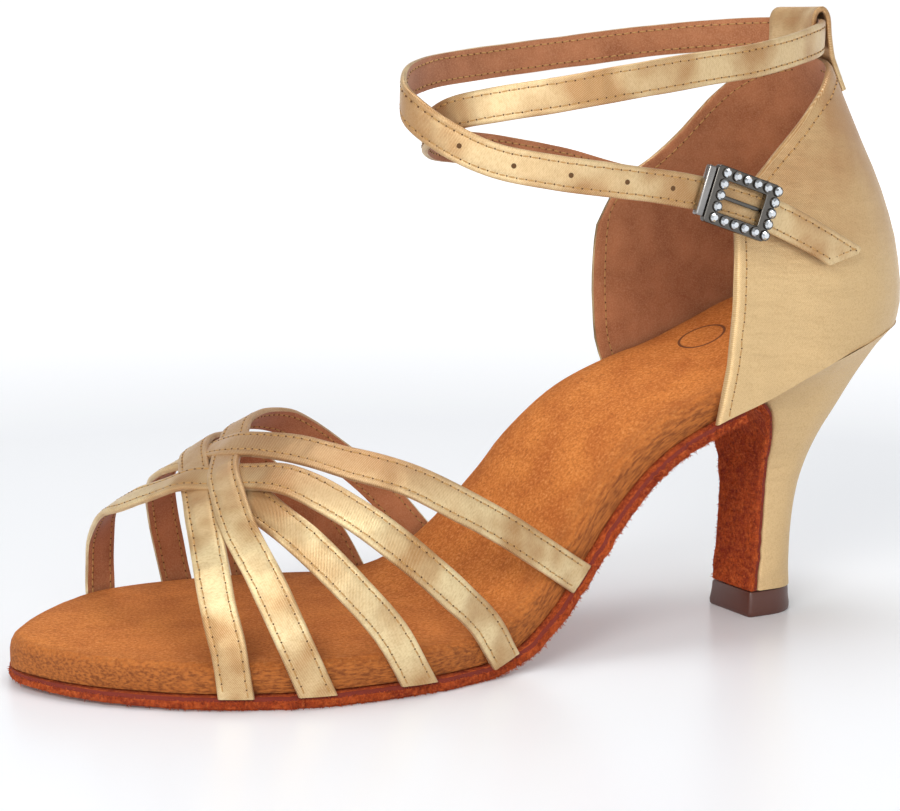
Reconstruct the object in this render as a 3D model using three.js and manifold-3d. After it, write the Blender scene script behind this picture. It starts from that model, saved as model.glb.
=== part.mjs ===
// A lady's Latin dance sandal for the left foot: a padded insole on a suede outsole that runs
// down the front of a covered flared heel, a closed counter, five straps woven over the toes
// and one long strap wound twice round the ankle to a stone-set buckle.
// Millimetres. X runs forward to the toe, Y to the outer side of the left foot, Z up.
import * as THREE from 'three';
import { mergeVertices } from 'three/addons/utils/BufferGeometryUtils.js';
import Module from 'manifold-3d';

const wasm = await Module();
wasm.setup();

// Driving dimensions of the last and the sole
const insoleLength = 211.5; // along the floor, back of the insole to the toe
const ballWidth = 80;
const seatWidth = 47;
const seatHeight = 71.3; // floor to the underside of the insole, at its back
const medialArch = 6; // how much higher the inner side of the waist is
const instepHeight = 62; // floor to the top of the foot, at the crown row marked 1
const toeSpring = 0.8;
const bendSkew = 5; // degrees, the sole bends along a line turned towards the outer side
const gap = 0.3; // between pieces that touch

// Driving dimensions of the pieces
const insoleThick = 6.5;
const insoleEdgeRadius = 3;
const insoleTuck = 0.8; // the padded edge bulges this far over its own seam
const outsoleThick = 2.8;
const outsoleToeThick = 2.1;
const outsoleLip = 1.3; // how far the suede sticks out round the insole
const flapThick = 1.8; // the suede down the front of the heel
const flapBend = 8;
const heelTipFront = 13.4; // from the heel's axis to the front of the tip
const heelTipBack = 2.2;
const heelTipHalf = 7.8;
const heelWaistHalf = 7.7;
const heelTurn = 4; // degrees, the heel points a little to the outer side
const heelAxis = 26; // where the heel's axis stands, from the back
const capHeight = 6;
const capFlare = 0.5;
const counterHeight = 61.5; // above the seat, at the back
const counterWall = 2.2;
const strapWidth = 7.5;
const strapThick = 1.6;
const weaveLift = 0.7; // how far a strap rises or dips where two cross
const ankleLength = 107; // of the strap's ring, back to front
const ankleHalf = 28;
const ankleStart = 18.2; // from the back of the shoe to the back of the ring
const ankleHeight = 66.8; // above the seat, where the strap leaves the back loop
const loopWidth = 18;
const loopThick = 1.3;
const loopFoot = 8; // how far it reaches down the counter
const loopFlap = 8; // and down inside, in front of the strap
const buckleLength = 17;
const buckleHeight = 13;
const buckleBar = 2.9;
const buckleThick = 1.8;
const buckleTilt = 18; // degrees, its front end up
const stoneRadius = 1.05;
const stoneHeight = 0.9;
const keeperWidth = 1.9;
const prongThick = 0.9;

const soleTop = outsoleThick + gap / 2; // top of the suede where it lies on the floor
const insoleStart = 2; // X of the insole's back
const toeX = insoleStart + insoleLength;

// Tables: each row is a section, in shares of the sizes above

// along: share of the insole's length; rise: share of the climb from the floor to the seat
const soleLine = rows(['along', 'rise'], [
  [0.000, 1.000],
  [0.047, 0.984],
  [0.103, 0.934],
  [0.160, 0.855],
  [0.216, 0.770],
  [0.272, 0.700],
  [0.333, 0.603],
  [0.385, 0.460],
  [0.432, 0.281],
  [0.479, 0.120],
  [0.526, 0.028],
  [0.577, 0.000],
  [1.000, 0.000],
]);

// centre: share of the ball's half width; seat and ball: shares of those half widths, added
const outline = rows(['along', 'centre', 'seat', 'ball'], [
  [0.000, 0.000, 0.00, 0.000],
  [0.019, 0.000, 0.56, 0.000],
  [0.047, 0.000, 0.82, 0.000],
  [0.085, 0.000, 0.97, 0.000],
  [0.122, 0.000, 1.00, 0.000],
  [0.202, -0.006, 0.80, 0.088],
  [0.272, -0.006, 0.60, 0.175],
  [0.343, -0.008, 0.45, 0.268],
  [0.413, -0.016, 0.30, 0.391],
  [0.484, -0.050, 0.15, 0.587],
  [0.554, -0.100, 0.05, 0.796],
  [0.610, -0.125, 0.00, 0.925],
  [0.671, -0.150, 0.00, 0.985],
  [0.728, -0.175, 0.00, 1.000],
  [0.779, -0.204, 0.00, 0.979],
  [0.826, -0.239, 0.00, 0.926],
  [0.864, -0.253, 0.00, 0.853],
  [0.897, -0.251, 0.00, 0.740],
  [0.930, -0.229, 0.00, 0.592],
  [0.958, -0.212, 0.00, 0.437],
  [0.981, -0.200, 0.00, 0.265],
  [1.000, -0.200, 0.00, 0.000],
]);

// arch: share of the medial arch
const archLine = rows(['along', 'arch'], [
  [0.000, 0.00],
  [0.140, 0.10],
  [0.300, 0.75],
  [0.400, 1.00],
  [0.480, 0.70],
  [0.570, 0.10],
  [0.620, 0.00],
  [1.000, 0.00],
]);

// crown: height of the top of the foot, share of the instep height
const crownLine = rows(['along', 'crown'], [
  [0.360, 1.560],
  [0.460, 1.340],
  [0.554, 1.140],
  [0.648, 0.980],
  [0.695, 0.905],
  [0.742, 0.823],
  [0.793, 0.718],
  [0.826, 0.653],
  [0.859, 0.580],
  [0.906, 0.468],
  [0.953, 0.330],
  [1.000, 0.200],
]);

// Heel, from its tip (0) to the seat (1). back: share of the way from the tip's back to the
// back of the counter; spread: share of the way from the tip's half width to the seat's
const heelRows = rows(['level', 'back', 'spread'], [
  [0.00, 0.000, 0.000],
  [0.10, -0.018, -0.003],
  [0.20, -0.015, -0.004],
  [0.30, 0.005, 0.000],
  [0.40, 0.050, 0.015],
  [0.50, 0.130, 0.070],
  [0.60, 0.260, 0.165],
  [0.70, 0.455, 0.285],
  [0.80, 0.645, 0.420],
  [0.90, 0.830, 0.650],
  [0.96, 0.935, 0.840],
  [1.00, 1.000, 1.000],
]);

// Front of the heel. hollow: millimetre share of the tip's half width that the front is cut
// back; flare: share of the way from the tip's half width to the seat's, at the front corners
const breastRows = rows(['level', 'hollow', 'flare'], [
  [0.00, 0.00, 0.00],
  [0.20, 0.09, -0.01],
  [0.42, 0.15, 0.00],
  [0.56, 0.14, 0.04],
  [0.68, 0.08, 0.17],
  [0.80, 0.03, 0.27],
  [0.88, 0.00, 0.34],
  [0.95, 0.00, 0.60],
  [1.00, 0.00, 0.90],
]);

// Counter wall by height. lean: how far the back has moved forward, share of the counter's
// height; narrow: factor on the half width
const leanRows = rows(['rise', 'lean', 'narrow'], [
  [0.00, 0.000, 1.00],
  [0.09, -0.013, 1.01],
  [0.27, 0.013, 1.00],
  [0.51, 0.095, 0.93],
  [0.70, 0.194, 0.86],
  [0.95, 0.318, 0.76],
  [1.00, 0.340, 0.74],
]);

// Top edge of the counter by how far forward its foot is, as a share of the insole's length.
// outer and inner: heights on the two sides of the foot, shares of the counter's height
const topLine = rows(['along', 'outer', 'inner'], [
  [0.000, 1.000, 1.000],
  [0.040, 0.950, 0.960],
  [0.085, 0.870, 0.890],
  [0.130, 0.775, 0.800],
  [0.180, 0.660, 0.690],
  [0.225, 0.545, 0.600],
  [0.260, 0.480, 0.540],
  [0.305, 0.440, 0.420],
]);

// Front edges of the counter's wings, shares of the insole's length, by height on the wall
const wingFront = rows(['level', 'outer', 'inner'], [
  [0.00, 0.268, 0.281],
  [0.30, 0.255, 0.299],
  [0.60, 0.252, 0.302],
  [0.85, 0.250, 0.300],
  [1.00, 0.244, 0.275],
]);

// Vamp straps, from the outer side of the sole over the foot to the inner side.
// turn: degrees round the foot, 0 at the outer side, 90 at the crown, 180 at the inner side;
// layer: in weave lifts, + over and - under
const vampStraps = {
  front: rows(['along', 'turn', 'layer'], [
    [0.826, 0, 0],
    [0.831, 12, 0],
    [0.836, 26, 0],
    [0.835, 42, 0],
    [0.830, 58, -0.6],
    [0.820, 75, -1],
    [0.803, 91, 0],
    [0.782, 105, 1],
    [0.757, 116, 0.3],
    [0.712, 134, 0],
    [0.645, 156, 0],
    [0.595, 168, 0],
    [0.560, 180, 0],
  ]),
  second: rows(['along', 'turn', 'layer'], [
    [0.751, 0, 0],
    [0.772, 12, 0],
    [0.792, 32, 0],
    [0.802, 50, 0],
    [0.800, 63, 0.5],
    [0.792, 76, 1],
    [0.778, 86, 0],
    [0.759, 95, -1],
    [0.735, 106, 0],
    [0.703, 118, 0],
    [0.657, 131, 0],
    [0.605, 146, 0],
    [0.545, 162, 0],
    [0.490, 180, 0],
  ]),
  middle: rows(['along', 'turn', 'layer'], [
    [0.644, 0, 0],
    [0.673, 9, 0],
    [0.711, 21, 0],
    [0.750, 38, -0.8],
    [0.776, 56, -3],
    [0.786, 76, -3],
    [0.780, 98, -3],
    [0.754, 122, -1.5],
    [0.718, 145, 0],
    [0.692, 166, 0],
    [0.676, 180, 0],
  ]),
  fourth: rows(['along', 'turn', 'layer'], [
    [0.535, 0, 0],
    [0.561, 6, 0],
    [0.598, 13, 0],
    [0.650, 25, 0],
    [0.700, 40, 0],
    [0.748, 60, -0.4],
    [0.781, 73, -1],
    [0.801, 79, 0],
    [0.817, 85, 1],
    [0.838, 91, 0.3],
    [0.858, 102, 0],
    [0.866, 120, 0],
    [0.862, 141, 0],
    [0.856, 163, 0],
    [0.853, 180, 0],
  ]),
  back: rows(['along', 'turn', 'layer'], [
    [0.436, 0, 0],
    [0.484, 11, 0],
    [0.533, 21, 0],
    [0.582, 30, 0],
    [0.637, 42, 0],
    [0.691, 55, 0],
    [0.730, 70, 0.3],
    [0.762, 86, 1],
    [0.776, 95, 0],
    [0.789, 103, -1],
    [0.803, 113, -0.2],
    [0.800, 129, 0],
    [0.785, 150, 0],
    [0.770, 167, 0],
    [0.757, 180, 0],
  ]),
};

// Ankle strap, from the inner wing round the front and back to the buckle and its free end.
// along: share of the ring's length, from its back; across: share of its half width;
// rise: share of the strap's height above the seat
const ankleRows = rows(['along', 'across', 'rise'], [
  [0.312, -0.930, 0.452],
  [0.384, -0.980, 0.482],
  [0.511, -0.996, 0.534],
  [0.673, -0.914, 0.579],
  [0.800, -0.750, 0.602],
  [0.890, -0.500, 0.622],
  [0.950, -0.100, 0.668],
  [0.940, 0.270, 0.730],
  [0.874, 0.570, 0.766],
  [0.770, 0.790, 0.798],
  [0.653, 0.925, 0.834],
  [0.478, 0.975, 0.879],
  [0.324, 0.920, 0.912],
  [0.160, 0.690, 0.962],
  [0.070, 0.380, 0.990],
  [0.040, 0.000, 1.000],
  [0.070, -0.380, 1.000],
  [0.160, -0.690, 0.990],
  [0.300, -0.900, 0.968],
  [0.450, -0.985, 0.937],
  [0.600, -0.980, 0.908],
  [0.760, -0.850, 0.879],
  [0.890, -0.620, 0.852],
  [0.975, -0.300, 0.815],
  [1.008, 0.000, 0.755],
  [0.975, 0.300, 0.672],
  [0.895, 0.600, 0.592],
  [0.785, 0.830, 0.553],
  [0.660, 0.955, 0.526],
  [0.540, 1.000, 0.500],
  [0.420, 1.000, 0.463],
  [0.300, 1.000, 0.405],
  [0.180, 1.005, 0.328],
  [0.080, 0.985, 0.256],
]);

function rows(names, values) {
  return values.map((row) => Object.fromEntries(row.map((value, i) => [names[i], value])));
}

// Smooth curve through a table, with no overshoot between its rows
function curve(table, inColumn, outColumn) {
  const x = table.map((row) => row[inColumn]);
  const y = table.map((row) => (typeof outColumn === 'function' ? outColumn(row) : row[outColumn]));
  const n = x.length;
  const secant = [];
  for (let i = 0; i < n - 1; i += 1) secant.push((y[i + 1] - y[i]) / (x[i + 1] - x[i]));
  const slope = [secant[0]];
  for (let i = 1; i < n - 1; i += 1) {
    const a = secant[i - 1];
    const b = secant[i];
    slope.push(a * b <= 0 ? 0 : (2 * a * b) / (a + b));
  }
  slope.push(secant[n - 2]);
  return (t) => {
    if (t <= x[0]) return y[0];
    if (t >= x[n - 1]) return y[n - 1];
    let i = 0;
    while (t > x[i + 1]) i += 1;
    const h = x[i + 1] - x[i];
    const u = (t - x[i]) / h;
    const v = 1 - u;
    return v * v * (1 + 2 * u) * y[i] + u * u * (1 + 2 * v) * y[i + 1]
      + h * u * v * (v * slope[i] - u * slope[i + 1]);
  };
}

const mix = (a, b, t) => a + (b - a) * t;
const clamp = THREE.MathUtils.clamp;
const degrees = THREE.MathUtils.degToRad;
const point = (x, y, z) => new THREE.Vector3(x, y, z);
const share = (x) => (x - insoleStart) / insoleLength;
const atShare = (along) => insoleStart + insoleLength * along;

// The last

const riseAt = curve(soleLine, 'along', 'rise');
const archAt = curve(archLine, 'along', 'arch');
const crownAt = curve(crownLine, 'along', 'crown');
const centreAt = curve(outline, 'along', (row) => (row.centre * ballWidth) / 2);
const halfSquaredAt = curve(outline, 'along', (row) => (
  ((row.seat * seatWidth) / 2 + (row.ball * ballWidth) / 2) ** 2
));

const toeAt = (along) => clamp((along - 0.8) / 0.2, 0, 1);

const centreY = (x) => centreAt(share(x));
const halfWidth = (x) => Math.sqrt(Math.max(halfSquaredAt(share(x)), 0));

function soleHeight(x, y) {
  const along = share(x + y * Math.tan(degrees(bendSkew)));
  const middle = soleTop + (seatHeight - soleTop) * riseAt(along) + toeSpring * toeAt(share(x)) ** 2;
  const inward = (centreY(x) - y) / Math.max(halfWidth(x), seatWidth / 4);
  return middle + (medialArch * archAt(share(x)) * (1 + clamp(inward, -1.6, 1.6))) / 2;
}

// Direction square to the sole's line, in the XZ plane, pointing up
function soleNormal(x) {
  const step = 0.5;
  const y = centreY(x);
  const climb = (soleHeight(x + step, y) - soleHeight(x - step, y)) / (2 * step);
  const size = Math.hypot(1, climb);
  return { x: -climb / size, z: 1 / size };
}

// A point lifted off the sole's line by a distance square to it
function overSole(x, y, lift) {
  const n = soleNormal(x);
  return point(x + n.x * lift, y, soleHeight(x, y) + n.z * lift);
}

const footPower = 2 / 2.3; // a cross-section a little squarer than an ellipse

// A point on the foot that the vamp straps lie on
function footSurface(x, turn) {
  const half = halfWidth(x) + 1.5 * gap + strapThick / 2;
  const angle = degrees(clamp(turn, 0, 180));
  const side = Math.cos(angle);
  const y = centreY(x) + half * Math.sign(side) * Math.abs(side) ** footPower;
  const base = soleHeight(x, centreY(x) + half * Math.sign(90 - turn)) + gap;
  const crown = instepHeight * crownAt(share(x));
  return point(x, y, base + (crown - base) * Math.sin(angle) ** footPower);
}

function footNormal(x, turn) {
  const inside = clamp(turn, 1, 179);
  const a = footSurface(x + 0.5, inside).sub(footSurface(x - 0.5, inside));
  const b = footSurface(x, inside + 1).sub(footSurface(x, inside - 1));
  return b.cross(a).normalize();
}

// Meshes

// Closed rings joined in a row, with a fan over each end
function loft(rings) {
  const count = rings[0].length;
  const position = rings.flat().flatMap((p) => [p.x, p.y, p.z]);
  const index = [];
  for (let r = 0; r < rings.length - 1; r += 1) {
    for (let i = 0; i < count; i += 1) {
      const a = r * count + i;
      const b = r * count + ((i + 1) % count);
      index.push(a, b, b + count, a, b + count, a + count);
    }
  }
  const last = (rings.length - 1) * count;
  for (let i = 1; i < count - 1; i += 1) {
    index.push(0, i + 1, i);
    index.push(last, last + i, last + i + 1);
  }
  return outward(position, index);
}

// A wall between an outer and an inner grid of points, closed round its edges
function wall(outer, inner) {
  const rowsCount = outer.length;
  const columns = outer[0].length;
  const position = [...outer.flat(), ...inner.flat()].flatMap((p) => [p.x, p.y, p.z]);
  const index = [];
  const behind = rowsCount * columns;
  const quad = (a, b, c, d) => index.push(a, b, c, a, c, d);
  for (let r = 0; r < rowsCount - 1; r += 1) {
    for (let c = 0; c < columns - 1; c += 1) {
      const a = r * columns + c;
      quad(a, a + 1, a + columns + 1, a + columns);
      quad(behind + a, behind + a + columns, behind + a + columns + 1, behind + a + 1);
    }
  }
  for (let c = 0; c < columns - 1; c += 1) {
    const top = (rowsCount - 1) * columns + c;
    quad(c + 1, c, behind + c, behind + c + 1);
    quad(top, top + 1, behind + top + 1, behind + top);
  }
  for (let r = 0; r < rowsCount - 1; r += 1) {
    const left = r * columns;
    const right = left + columns - 1;
    quad(left, left + columns, behind + left + columns, behind + left);
    quad(right + columns, right, behind + right, behind + right + columns);
  }
  return outward(position, index);
}

// A geometry whose faces point out of the solid
function outward(position, index) {
  let volume = 0;
  const corner = (i) => position.slice(3 * i, 3 * i + 3);
  for (let i = 0; i < index.length; i += 3) {
    const [a, b, c] = [corner(index[i]), corner(index[i + 1]), corner(index[i + 2])];
    volume += a[0] * (b[1] * c[2] - b[2] * c[1]) + a[1] * (b[2] * c[0] - b[0] * c[2])
      + a[2] * (b[0] * c[1] - b[1] * c[0]);
  }
  const faces = index.slice();
  if (volume < 0) faces.reverse();
  const geometry = new THREE.BufferGeometry();
  geometry.setAttribute('position', new THREE.Float32BufferAttribute(position, 3));
  geometry.setIndex(faces);
  geometry.computeVertexNormals();
  return geometry;
}

function toManifold(geometry) {
  const bare = geometry.clone();
  bare.deleteAttribute('normal');
  bare.deleteAttribute('uv');
  const merged = mergeVertices(bare, 1e-4);
  return new wasm.Manifold(new wasm.Mesh({
    numProp: 3,
    vertProperties: new Float32Array(merged.attributes.position.array),
    triVerts: new Uint32Array(merged.index.array),
  }));
}

function fromManifold(solid) {
  const mesh = solid.getMesh();
  const geometry = new THREE.BufferGeometry();
  geometry.setAttribute('position', new THREE.BufferAttribute(new Float32Array(mesh.vertProperties), 3));
  geometry.setIndex(new THREE.BufferAttribute(new Uint32Array(mesh.triVerts), 1));
  geometry.computeVertexNormals();
  return geometry;
}

// A flat strap along a line of stations, each with a place, a direction across and a normal
function ribbon(stations, width, thick) {
  return loft(stations.map(({ place, across, normal }) => {
    const side = across.clone().multiplyScalar(width / 2);
    const up = normal.clone().multiplyScalar(thick / 2);
    return [
      place.clone().add(side).add(up),
      place.clone().sub(side).add(up),
      place.clone().sub(side).sub(up),
      place.clone().add(side).sub(up),
    ];
  }));
}

// Distances that bunch up towards a rounded end
function roundedSteps(radius, count) {
  return Array.from({ length: count }, (_, i) => radius * (1 - Math.cos(((i + 0.35) / count) * (Math.PI / 2))));
}

const endSteps = roundedSteps(24, 7);
const sectionStep = 5;

function sectionPlaces(from, to) {
  const inner = [];
  const start = from + 24;
  const stop = to - 24;
  const count = Math.round((stop - start) / sectionStep);
  for (let i = 0; i <= count; i += 1) inner.push(mix(start, stop, i / count));
  return [...endSteps.map((d) => from + d), ...inner, ...endSteps.map((d) => to - d).reverse()];
}

// Pieces

// A flat underside, a bulging side and a rounded top edge at each section
function makeInsole() {
  const corner = [0, 22.5, 45, 67.5, 90].map(degrees);
  const places = sectionPlaces(insoleStart, toeX);
  return loft(places.map((x) => {
    const half = halfWidth(x);
    const centre = centreY(x);
    const fromEnd = Math.min(toeX - x, x - insoleStart);
    const soft = Math.min(insoleEdgeRadius, half * 0.6);
    const nearEnd = clamp(fromEnd / insoleEdgeRadius, 0, 1);
    const rise = soft * Math.sqrt(1 - (1 - nearEnd) ** 2);
    const shoulder = insoleThick - insoleEdgeRadius;
    const tuck = Math.min(insoleTuck, half * 0.2);
    const edge = corner.map((a) => [half - soft * (1 - Math.cos(a)), shoulder + rise * Math.sin(a)]);
    const side = [[half - tuck, gap * 0.8], ...edge];
    const inner = [0.5, 0, -0.5].map((s) => s * (half - soft));
    return [
      ...side.map(([y, z]) => overSole(x, centre + y, z)),
      ...inner.map((y) => overSole(x, centre + y, shoulder + rise)),
      ...side.map(([y, z]) => overSole(x, centre - y, z)).reverse(),
      ...inner.map((y) => overSole(x, centre - y, gap * 0.8)),
    ];
  }));
}

// Where the suede turns down the front of the heel: the corner of the seat line and the breast
const breastX = heelAxis + heelTipFront - flapThick - gap;
const seatUnder = (x) => soleHeight(x, centreY(x) + halfWidth(x)) - gap;
const seatAngle = Math.atan((seatUnder(breastX + flapBend) - seatUnder(breastX)) / flapBend);
const bendAngle = Math.PI / 2 - seatAngle;
const bendRun = flapBend * Math.tan(bendAngle / 2);
const bendStartX = breastX + bendRun * Math.cos(seatAngle);
const bendCentre = {
  x: breastX + flapBend,
  z: seatUnder(breastX) - bendRun,
};
const capTop = capHeight + gap;
const breastHeight = seatUnder(breastX) - capTop;

const hollowAt = curve(breastRows, 'level', 'hollow');
const flareAt = curve(breastRows, 'level', 'flare');
const seatHalf = seatWidth / 2 + gap + counterWall;

// Front of the heel by height, and its half width there
function breastFront(z) {
  if (z > bendCentre.z) {
    const up = Math.min((z - bendCentre.z) / (flapBend + 1.4 * gap), 0.93);
    return bendCentre.x - (flapBend + 1.4 * gap) * Math.sqrt(1 - up * up);
  }
  return breastX - gap - hollowAt((z - capTop) / breastHeight) * heelTipHalf;
}

const breastHalf = (z) => mix(heelTipHalf, seatHalf, flareAt((z - capTop) / breastHeight));

// The suede's path seen from the side, toe to heel tip, on the face that touches the shoe
function outsoleSections() {
  const sections = [];
  const places = sectionPlaces(insoleStart, toeX).filter((x) => x > bendStartX + 2).reverse();
  for (const x of places) {
    const n = soleNormal(x);
    const toe = toeAt(share(x));
    const thick = mix(outsoleThick, outsoleToeThick, toe);
    sections.push({
      x,
      half: halfWidth(x) + outsoleLip * Math.sqrt(1 - toe ** 4),
      centre: centreY(x),
      height: (y) => soleHeight(x, y) - gap / 2 / n.z,
      n: { x: -n.x, z: -n.z },
      thick,
    });
  }
  return sections;
}

function makeOutsole() {
  const across = [-1, -0.94, -0.5, 0, 0.5, 0.94, 1];
  const rings = outsoleSections().map(({ x, half, centre, height, n, thick }) => {
    const top = across.map((s) => point(x, centre + s * half, height(centre + s * half)));
    const under = across.map((s, i) => {
      const edge = Math.abs(s) === 1 ? 0.75 : 1;
      return top[i].clone().add(point(n.x, 0, n.z).multiplyScalar(thick * edge));
    });
    return [...top, ...under.reverse()];
  });
  const bendSteps = 7;
  for (let i = 0; i <= bendSteps; i += 1) {
    const angle = Math.PI / 2 + seatAngle + (i / bendSteps) * (Math.PI / 2 - seatAngle);
    const arm = { x: Math.cos(angle), z: Math.sin(angle) };
    const top = { x: bendCentre.x + arm.x * flapBend, z: bendCentre.z + arm.z * flapBend };
    rings.push(flapRing(across, top, { x: -arm.x, z: -arm.z }, mix(outsoleThick, flapThick, i / bendSteps)));
  }
  const flapSteps = 9;
  for (let i = 1; i <= flapSteps; i += 1) {
    const z = mix(bendCentre.z, capTop, i / flapSteps);
    rings.push(flapRing(across, { x: breastFront(z) + gap, z }, { x: 1, z: 0 }, flapThick));
  }
  return loft(rings);
}

function flapRing(across, top, n, thick) {
  const half = breastHalf(top.z);
  const turned = (x, y, z) => turnHeel(point(x, y, z));
  const back = across.map((s) => turned(top.x, s * half, top.z));
  const front = across.map((s) => {
    const edge = Math.abs(s) === 1 ? 0.75 : 1;
    return turned(top.x + n.x * thick * edge, s * half, top.z + n.z * thick * edge);
  });
  return [...back, ...front.reverse()];
}

// Turns a point about the heel's upright axis, less and less towards the seat
function turnHeel(p) {
  const rise = clamp((p.z - capTop) / breastHeight, 0, 1);
  const angle = degrees(heelTurn) * (1 - rise ** 3);
  const x = p.x - heelAxis;
  return point(
    heelAxis + x * Math.cos(angle) - p.y * Math.sin(angle),
    x * Math.sin(angle) + p.y * Math.cos(angle),
    p.z,
  );
}

// One ring round the heel or its tip: flat in front, round behind
function heelRing(back, frontAt, half, frontHalf, heightAt) {
  const middle = mix(back, frontAt(0), 0.6);
  const round = Array.from({ length: 13 }, (_, i) => {
    const angle = -Math.PI / 2 + (i / 12) * Math.PI;
    return [middle - (middle - back) * Math.cos(angle), half * Math.sin(angle)];
  });
  const bevel = 0.12 * frontHalf;
  const plan = [
    ...round,
    [frontAt(frontHalf) - bevel, frontHalf],
    [frontAt(frontHalf), frontHalf - bevel],
    [frontAt(0), 0],
    [frontAt(-frontHalf), bevel - frontHalf],
    [frontAt(-frontHalf) - bevel, -frontHalf],
  ];
  return plan.map(([x, y]) => turnHeel(point(x, y, heightAt(x, y))));
}

function makeHeel() {
  const backAt = curve(heelRows, 'level', 'back');
  const spreadAt = curve(heelRows, 'level', 'spread');
  const levels = [0, 0.08, 0.2, 0.3, 0.4, 0.5, 0.6, 0.68, 0.76, 0.83, 0.89, 0.94, 0.98, 1];
  return loft(levels.map((level) => {
    const back = mix(heelAxis - heelTipBack, insoleStart - gap - counterWall, backAt(level));
    const half = mix(heelTipHalf, seatHalf, spreadAt(level));
    const heightAt = (x, y) => mix(capTop, soleHeight(x, y) - gap / 2 / soleNormal(x).z, level);
    const frontAt = (y) => {
      let front = breastX;
      for (let i = 0; i < 12; i += 1) front = breastFront(heightAt(front, y));
      return front;
    };
    const frontHalf = Math.min(breastHalf(heightAt(frontAt(0), 0)), half);
    return heelRing(back, frontAt, half, frontHalf, heightAt);
  }));
}

function makeHeelCap() {
  const ring = (z, grow) => heelRing(
    heelAxis - heelTipBack - grow,
    () => heelAxis + heelTipFront + grow,
    heelTipHalf + grow,
    heelTipHalf + grow,
    () => z,
  );
  return loft([ring(0, capFlare * 0.5), ring(1, capFlare), ring(capHeight, 0)]);
}

// Counter

const leanAt = curve(leanRows, 'rise', 'lean');
const narrowAt = curve(leanRows, 'rise', 'narrow');

// A point on the counter, offset outward from its inner face
function counterPoint(x, side, z, offset) {
  const rise = (z - seatHeight) / counterHeight;
  const inner = halfWidth(x) + 1.5 * gap;
  const front = atShare(0.3);
  const behind = clamp((front - x) / (front - insoleStart), 0, 1);
  const move = leanAt(rise) * counterHeight * behind;
  const round = clamp((x - insoleStart) / (seatWidth / 2), 0, 1);
  const out = { x: -(gap + offset) * (1 - round), y: offset * Math.sqrt(1 - (1 - round) ** 2) };
  const y = centreY(x) + side * (inner * Math.sqrt(round > 0 ? 1 : 0) + out.y) * narrowAt(rise);
  return point(x + out.x + move, y, z);
}

function makeCounter() {
  const outerTop = curve(topLine, 'along', 'outer');
  const innerTop = curve(topLine, 'along', 'inner');
  const outerFront = curve(wingFront, 'level', 'outer');
  const innerFront = curve(wingFront, 'level', 'inner');
  const columns = [];
  const backSteps = [1, 0.86, 0.72, 0.58, 0.46, 0.36, 0.27, 0.19, 0.12, 0.07, 0.03, 0.008];
  for (const s of backSteps) columns.push({ side: 1, s });
  columns.push({ side: 1, s: 0 });
  for (const s of backSteps.slice().reverse()) columns.push({ side: -1, s });
  const levels = [0, 0.12, 0.25, 0.4, 0.55, 0.7, 0.85, 1];
  const grid = (offset) => levels.map((level) => columns.map(({ side, s }) => {
    const reach = side > 0 ? outerFront(level) : innerFront(level);
    const along = s * reach;
    const x = atShare(along);
    const y = centreY(x) + side * halfWidth(x);
    const foot = soleHeight(x, y) + gap / soleNormal(x).z;
    const top = seatHeight + counterHeight * (side > 0 ? outerTop(along) : innerTop(along));
    return counterPoint(x, side, mix(foot, top, level), offset);
  }));
  return wall(grid(counterWall), grid(0));
}

// Straps

const footReach = 6; // a strap runs on this far past the sole's edge before it is cut
const run = (from, to) => to.clone().sub(from).normalize();

function vampStations(table) {
  const places = table.map((row) => {
    const x = atShare(row.along);
    const normal = footNormal(x, row.turn);
    return footSurface(x, row.turn).addScaledVector(normal, row.layer * weaveLift);
  });
  const last = places.length - 1;
  places.unshift(places[0].clone().addScaledVector(run(places[1], places[0]), footReach));
  places.push(places[last + 1].clone().addScaledVector(run(places[last], places[last + 1]), footReach));
  const line = new THREE.CatmullRomCurve3(places, false, 'centripetal');
  const count = 3 * (places.length - 1);
  return Array.from({ length: count + 1 }, (_, k) => {
    const t = k / count;
    const row = clamp(k / 3 - 1, 0, last);
    const i = Math.min(Math.floor(row), last - 1);
    const x = atShare(mix(table[i].along, table[i + 1].along, row - i));
    const turn = mix(table[i].turn, table[i + 1].turn, row - i);
    const ahead = line.getTangent(t);
    const normal = footNormal(x, turn);
    normal.addScaledVector(ahead, -normal.dot(ahead)).normalize();
    return { place: line.getPoint(t), normal, across: normal.clone().cross(ahead).normalize() };
  });
}

// All below the sole's top face, to trim the straps' feet
function belowSole() {
  const deep = 40;
  const places = sectionPlaces(insoleStart, toeX).filter((x) => x > atShare(0.3) && x < atShare(0.95));
  return loft(places.map((x) => {
    const top = [-1.6, -1, 0, 1, 1.6].map((s) => {
      const y = centreY(x) + s * halfWidth(x);
      return point(x, y, soleHeight(x, y) + gap / 2 / soleNormal(x).z);
    });
    return [...top, point(x, top[4].y, -deep), point(x, top[0].y, -deep)];
  }));
}

function makeVamp() {
  let vamp = null;
  for (const table of Object.values(vampStraps)) {
    const strap = toManifold(ribbon(vampStations(table), strapWidth, strapThick));
    vamp = vamp ? vamp.add(strap) : strap;
  }
  return fromManifold(vamp.subtract(toManifold(belowSole())));
}

const anklePlaces = ankleRows.map(({ along, across, rise }) => point(
  ankleStart + along * ankleLength,
  across * ankleHalf,
  seatHeight + rise * ankleHeight,
));
const ankleLine = new THREE.CatmullRomCurve3(anklePlaces, false, 'centripetal');
const ankleBack = anklePlaces.reduce((best, p, i, all) => (p.x < all[best].x && p.y < ankleHalf / 2 ? i : best), 0);

// How far forward of its rearmost point the strap's ring stands, across the back
function ankleCurl(y) {
  const beside = anklePlaces[ankleBack + 1];
  return (beside.x - anklePlaces[ankleBack].x) * (y / beside.y) ** 2;
}

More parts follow.
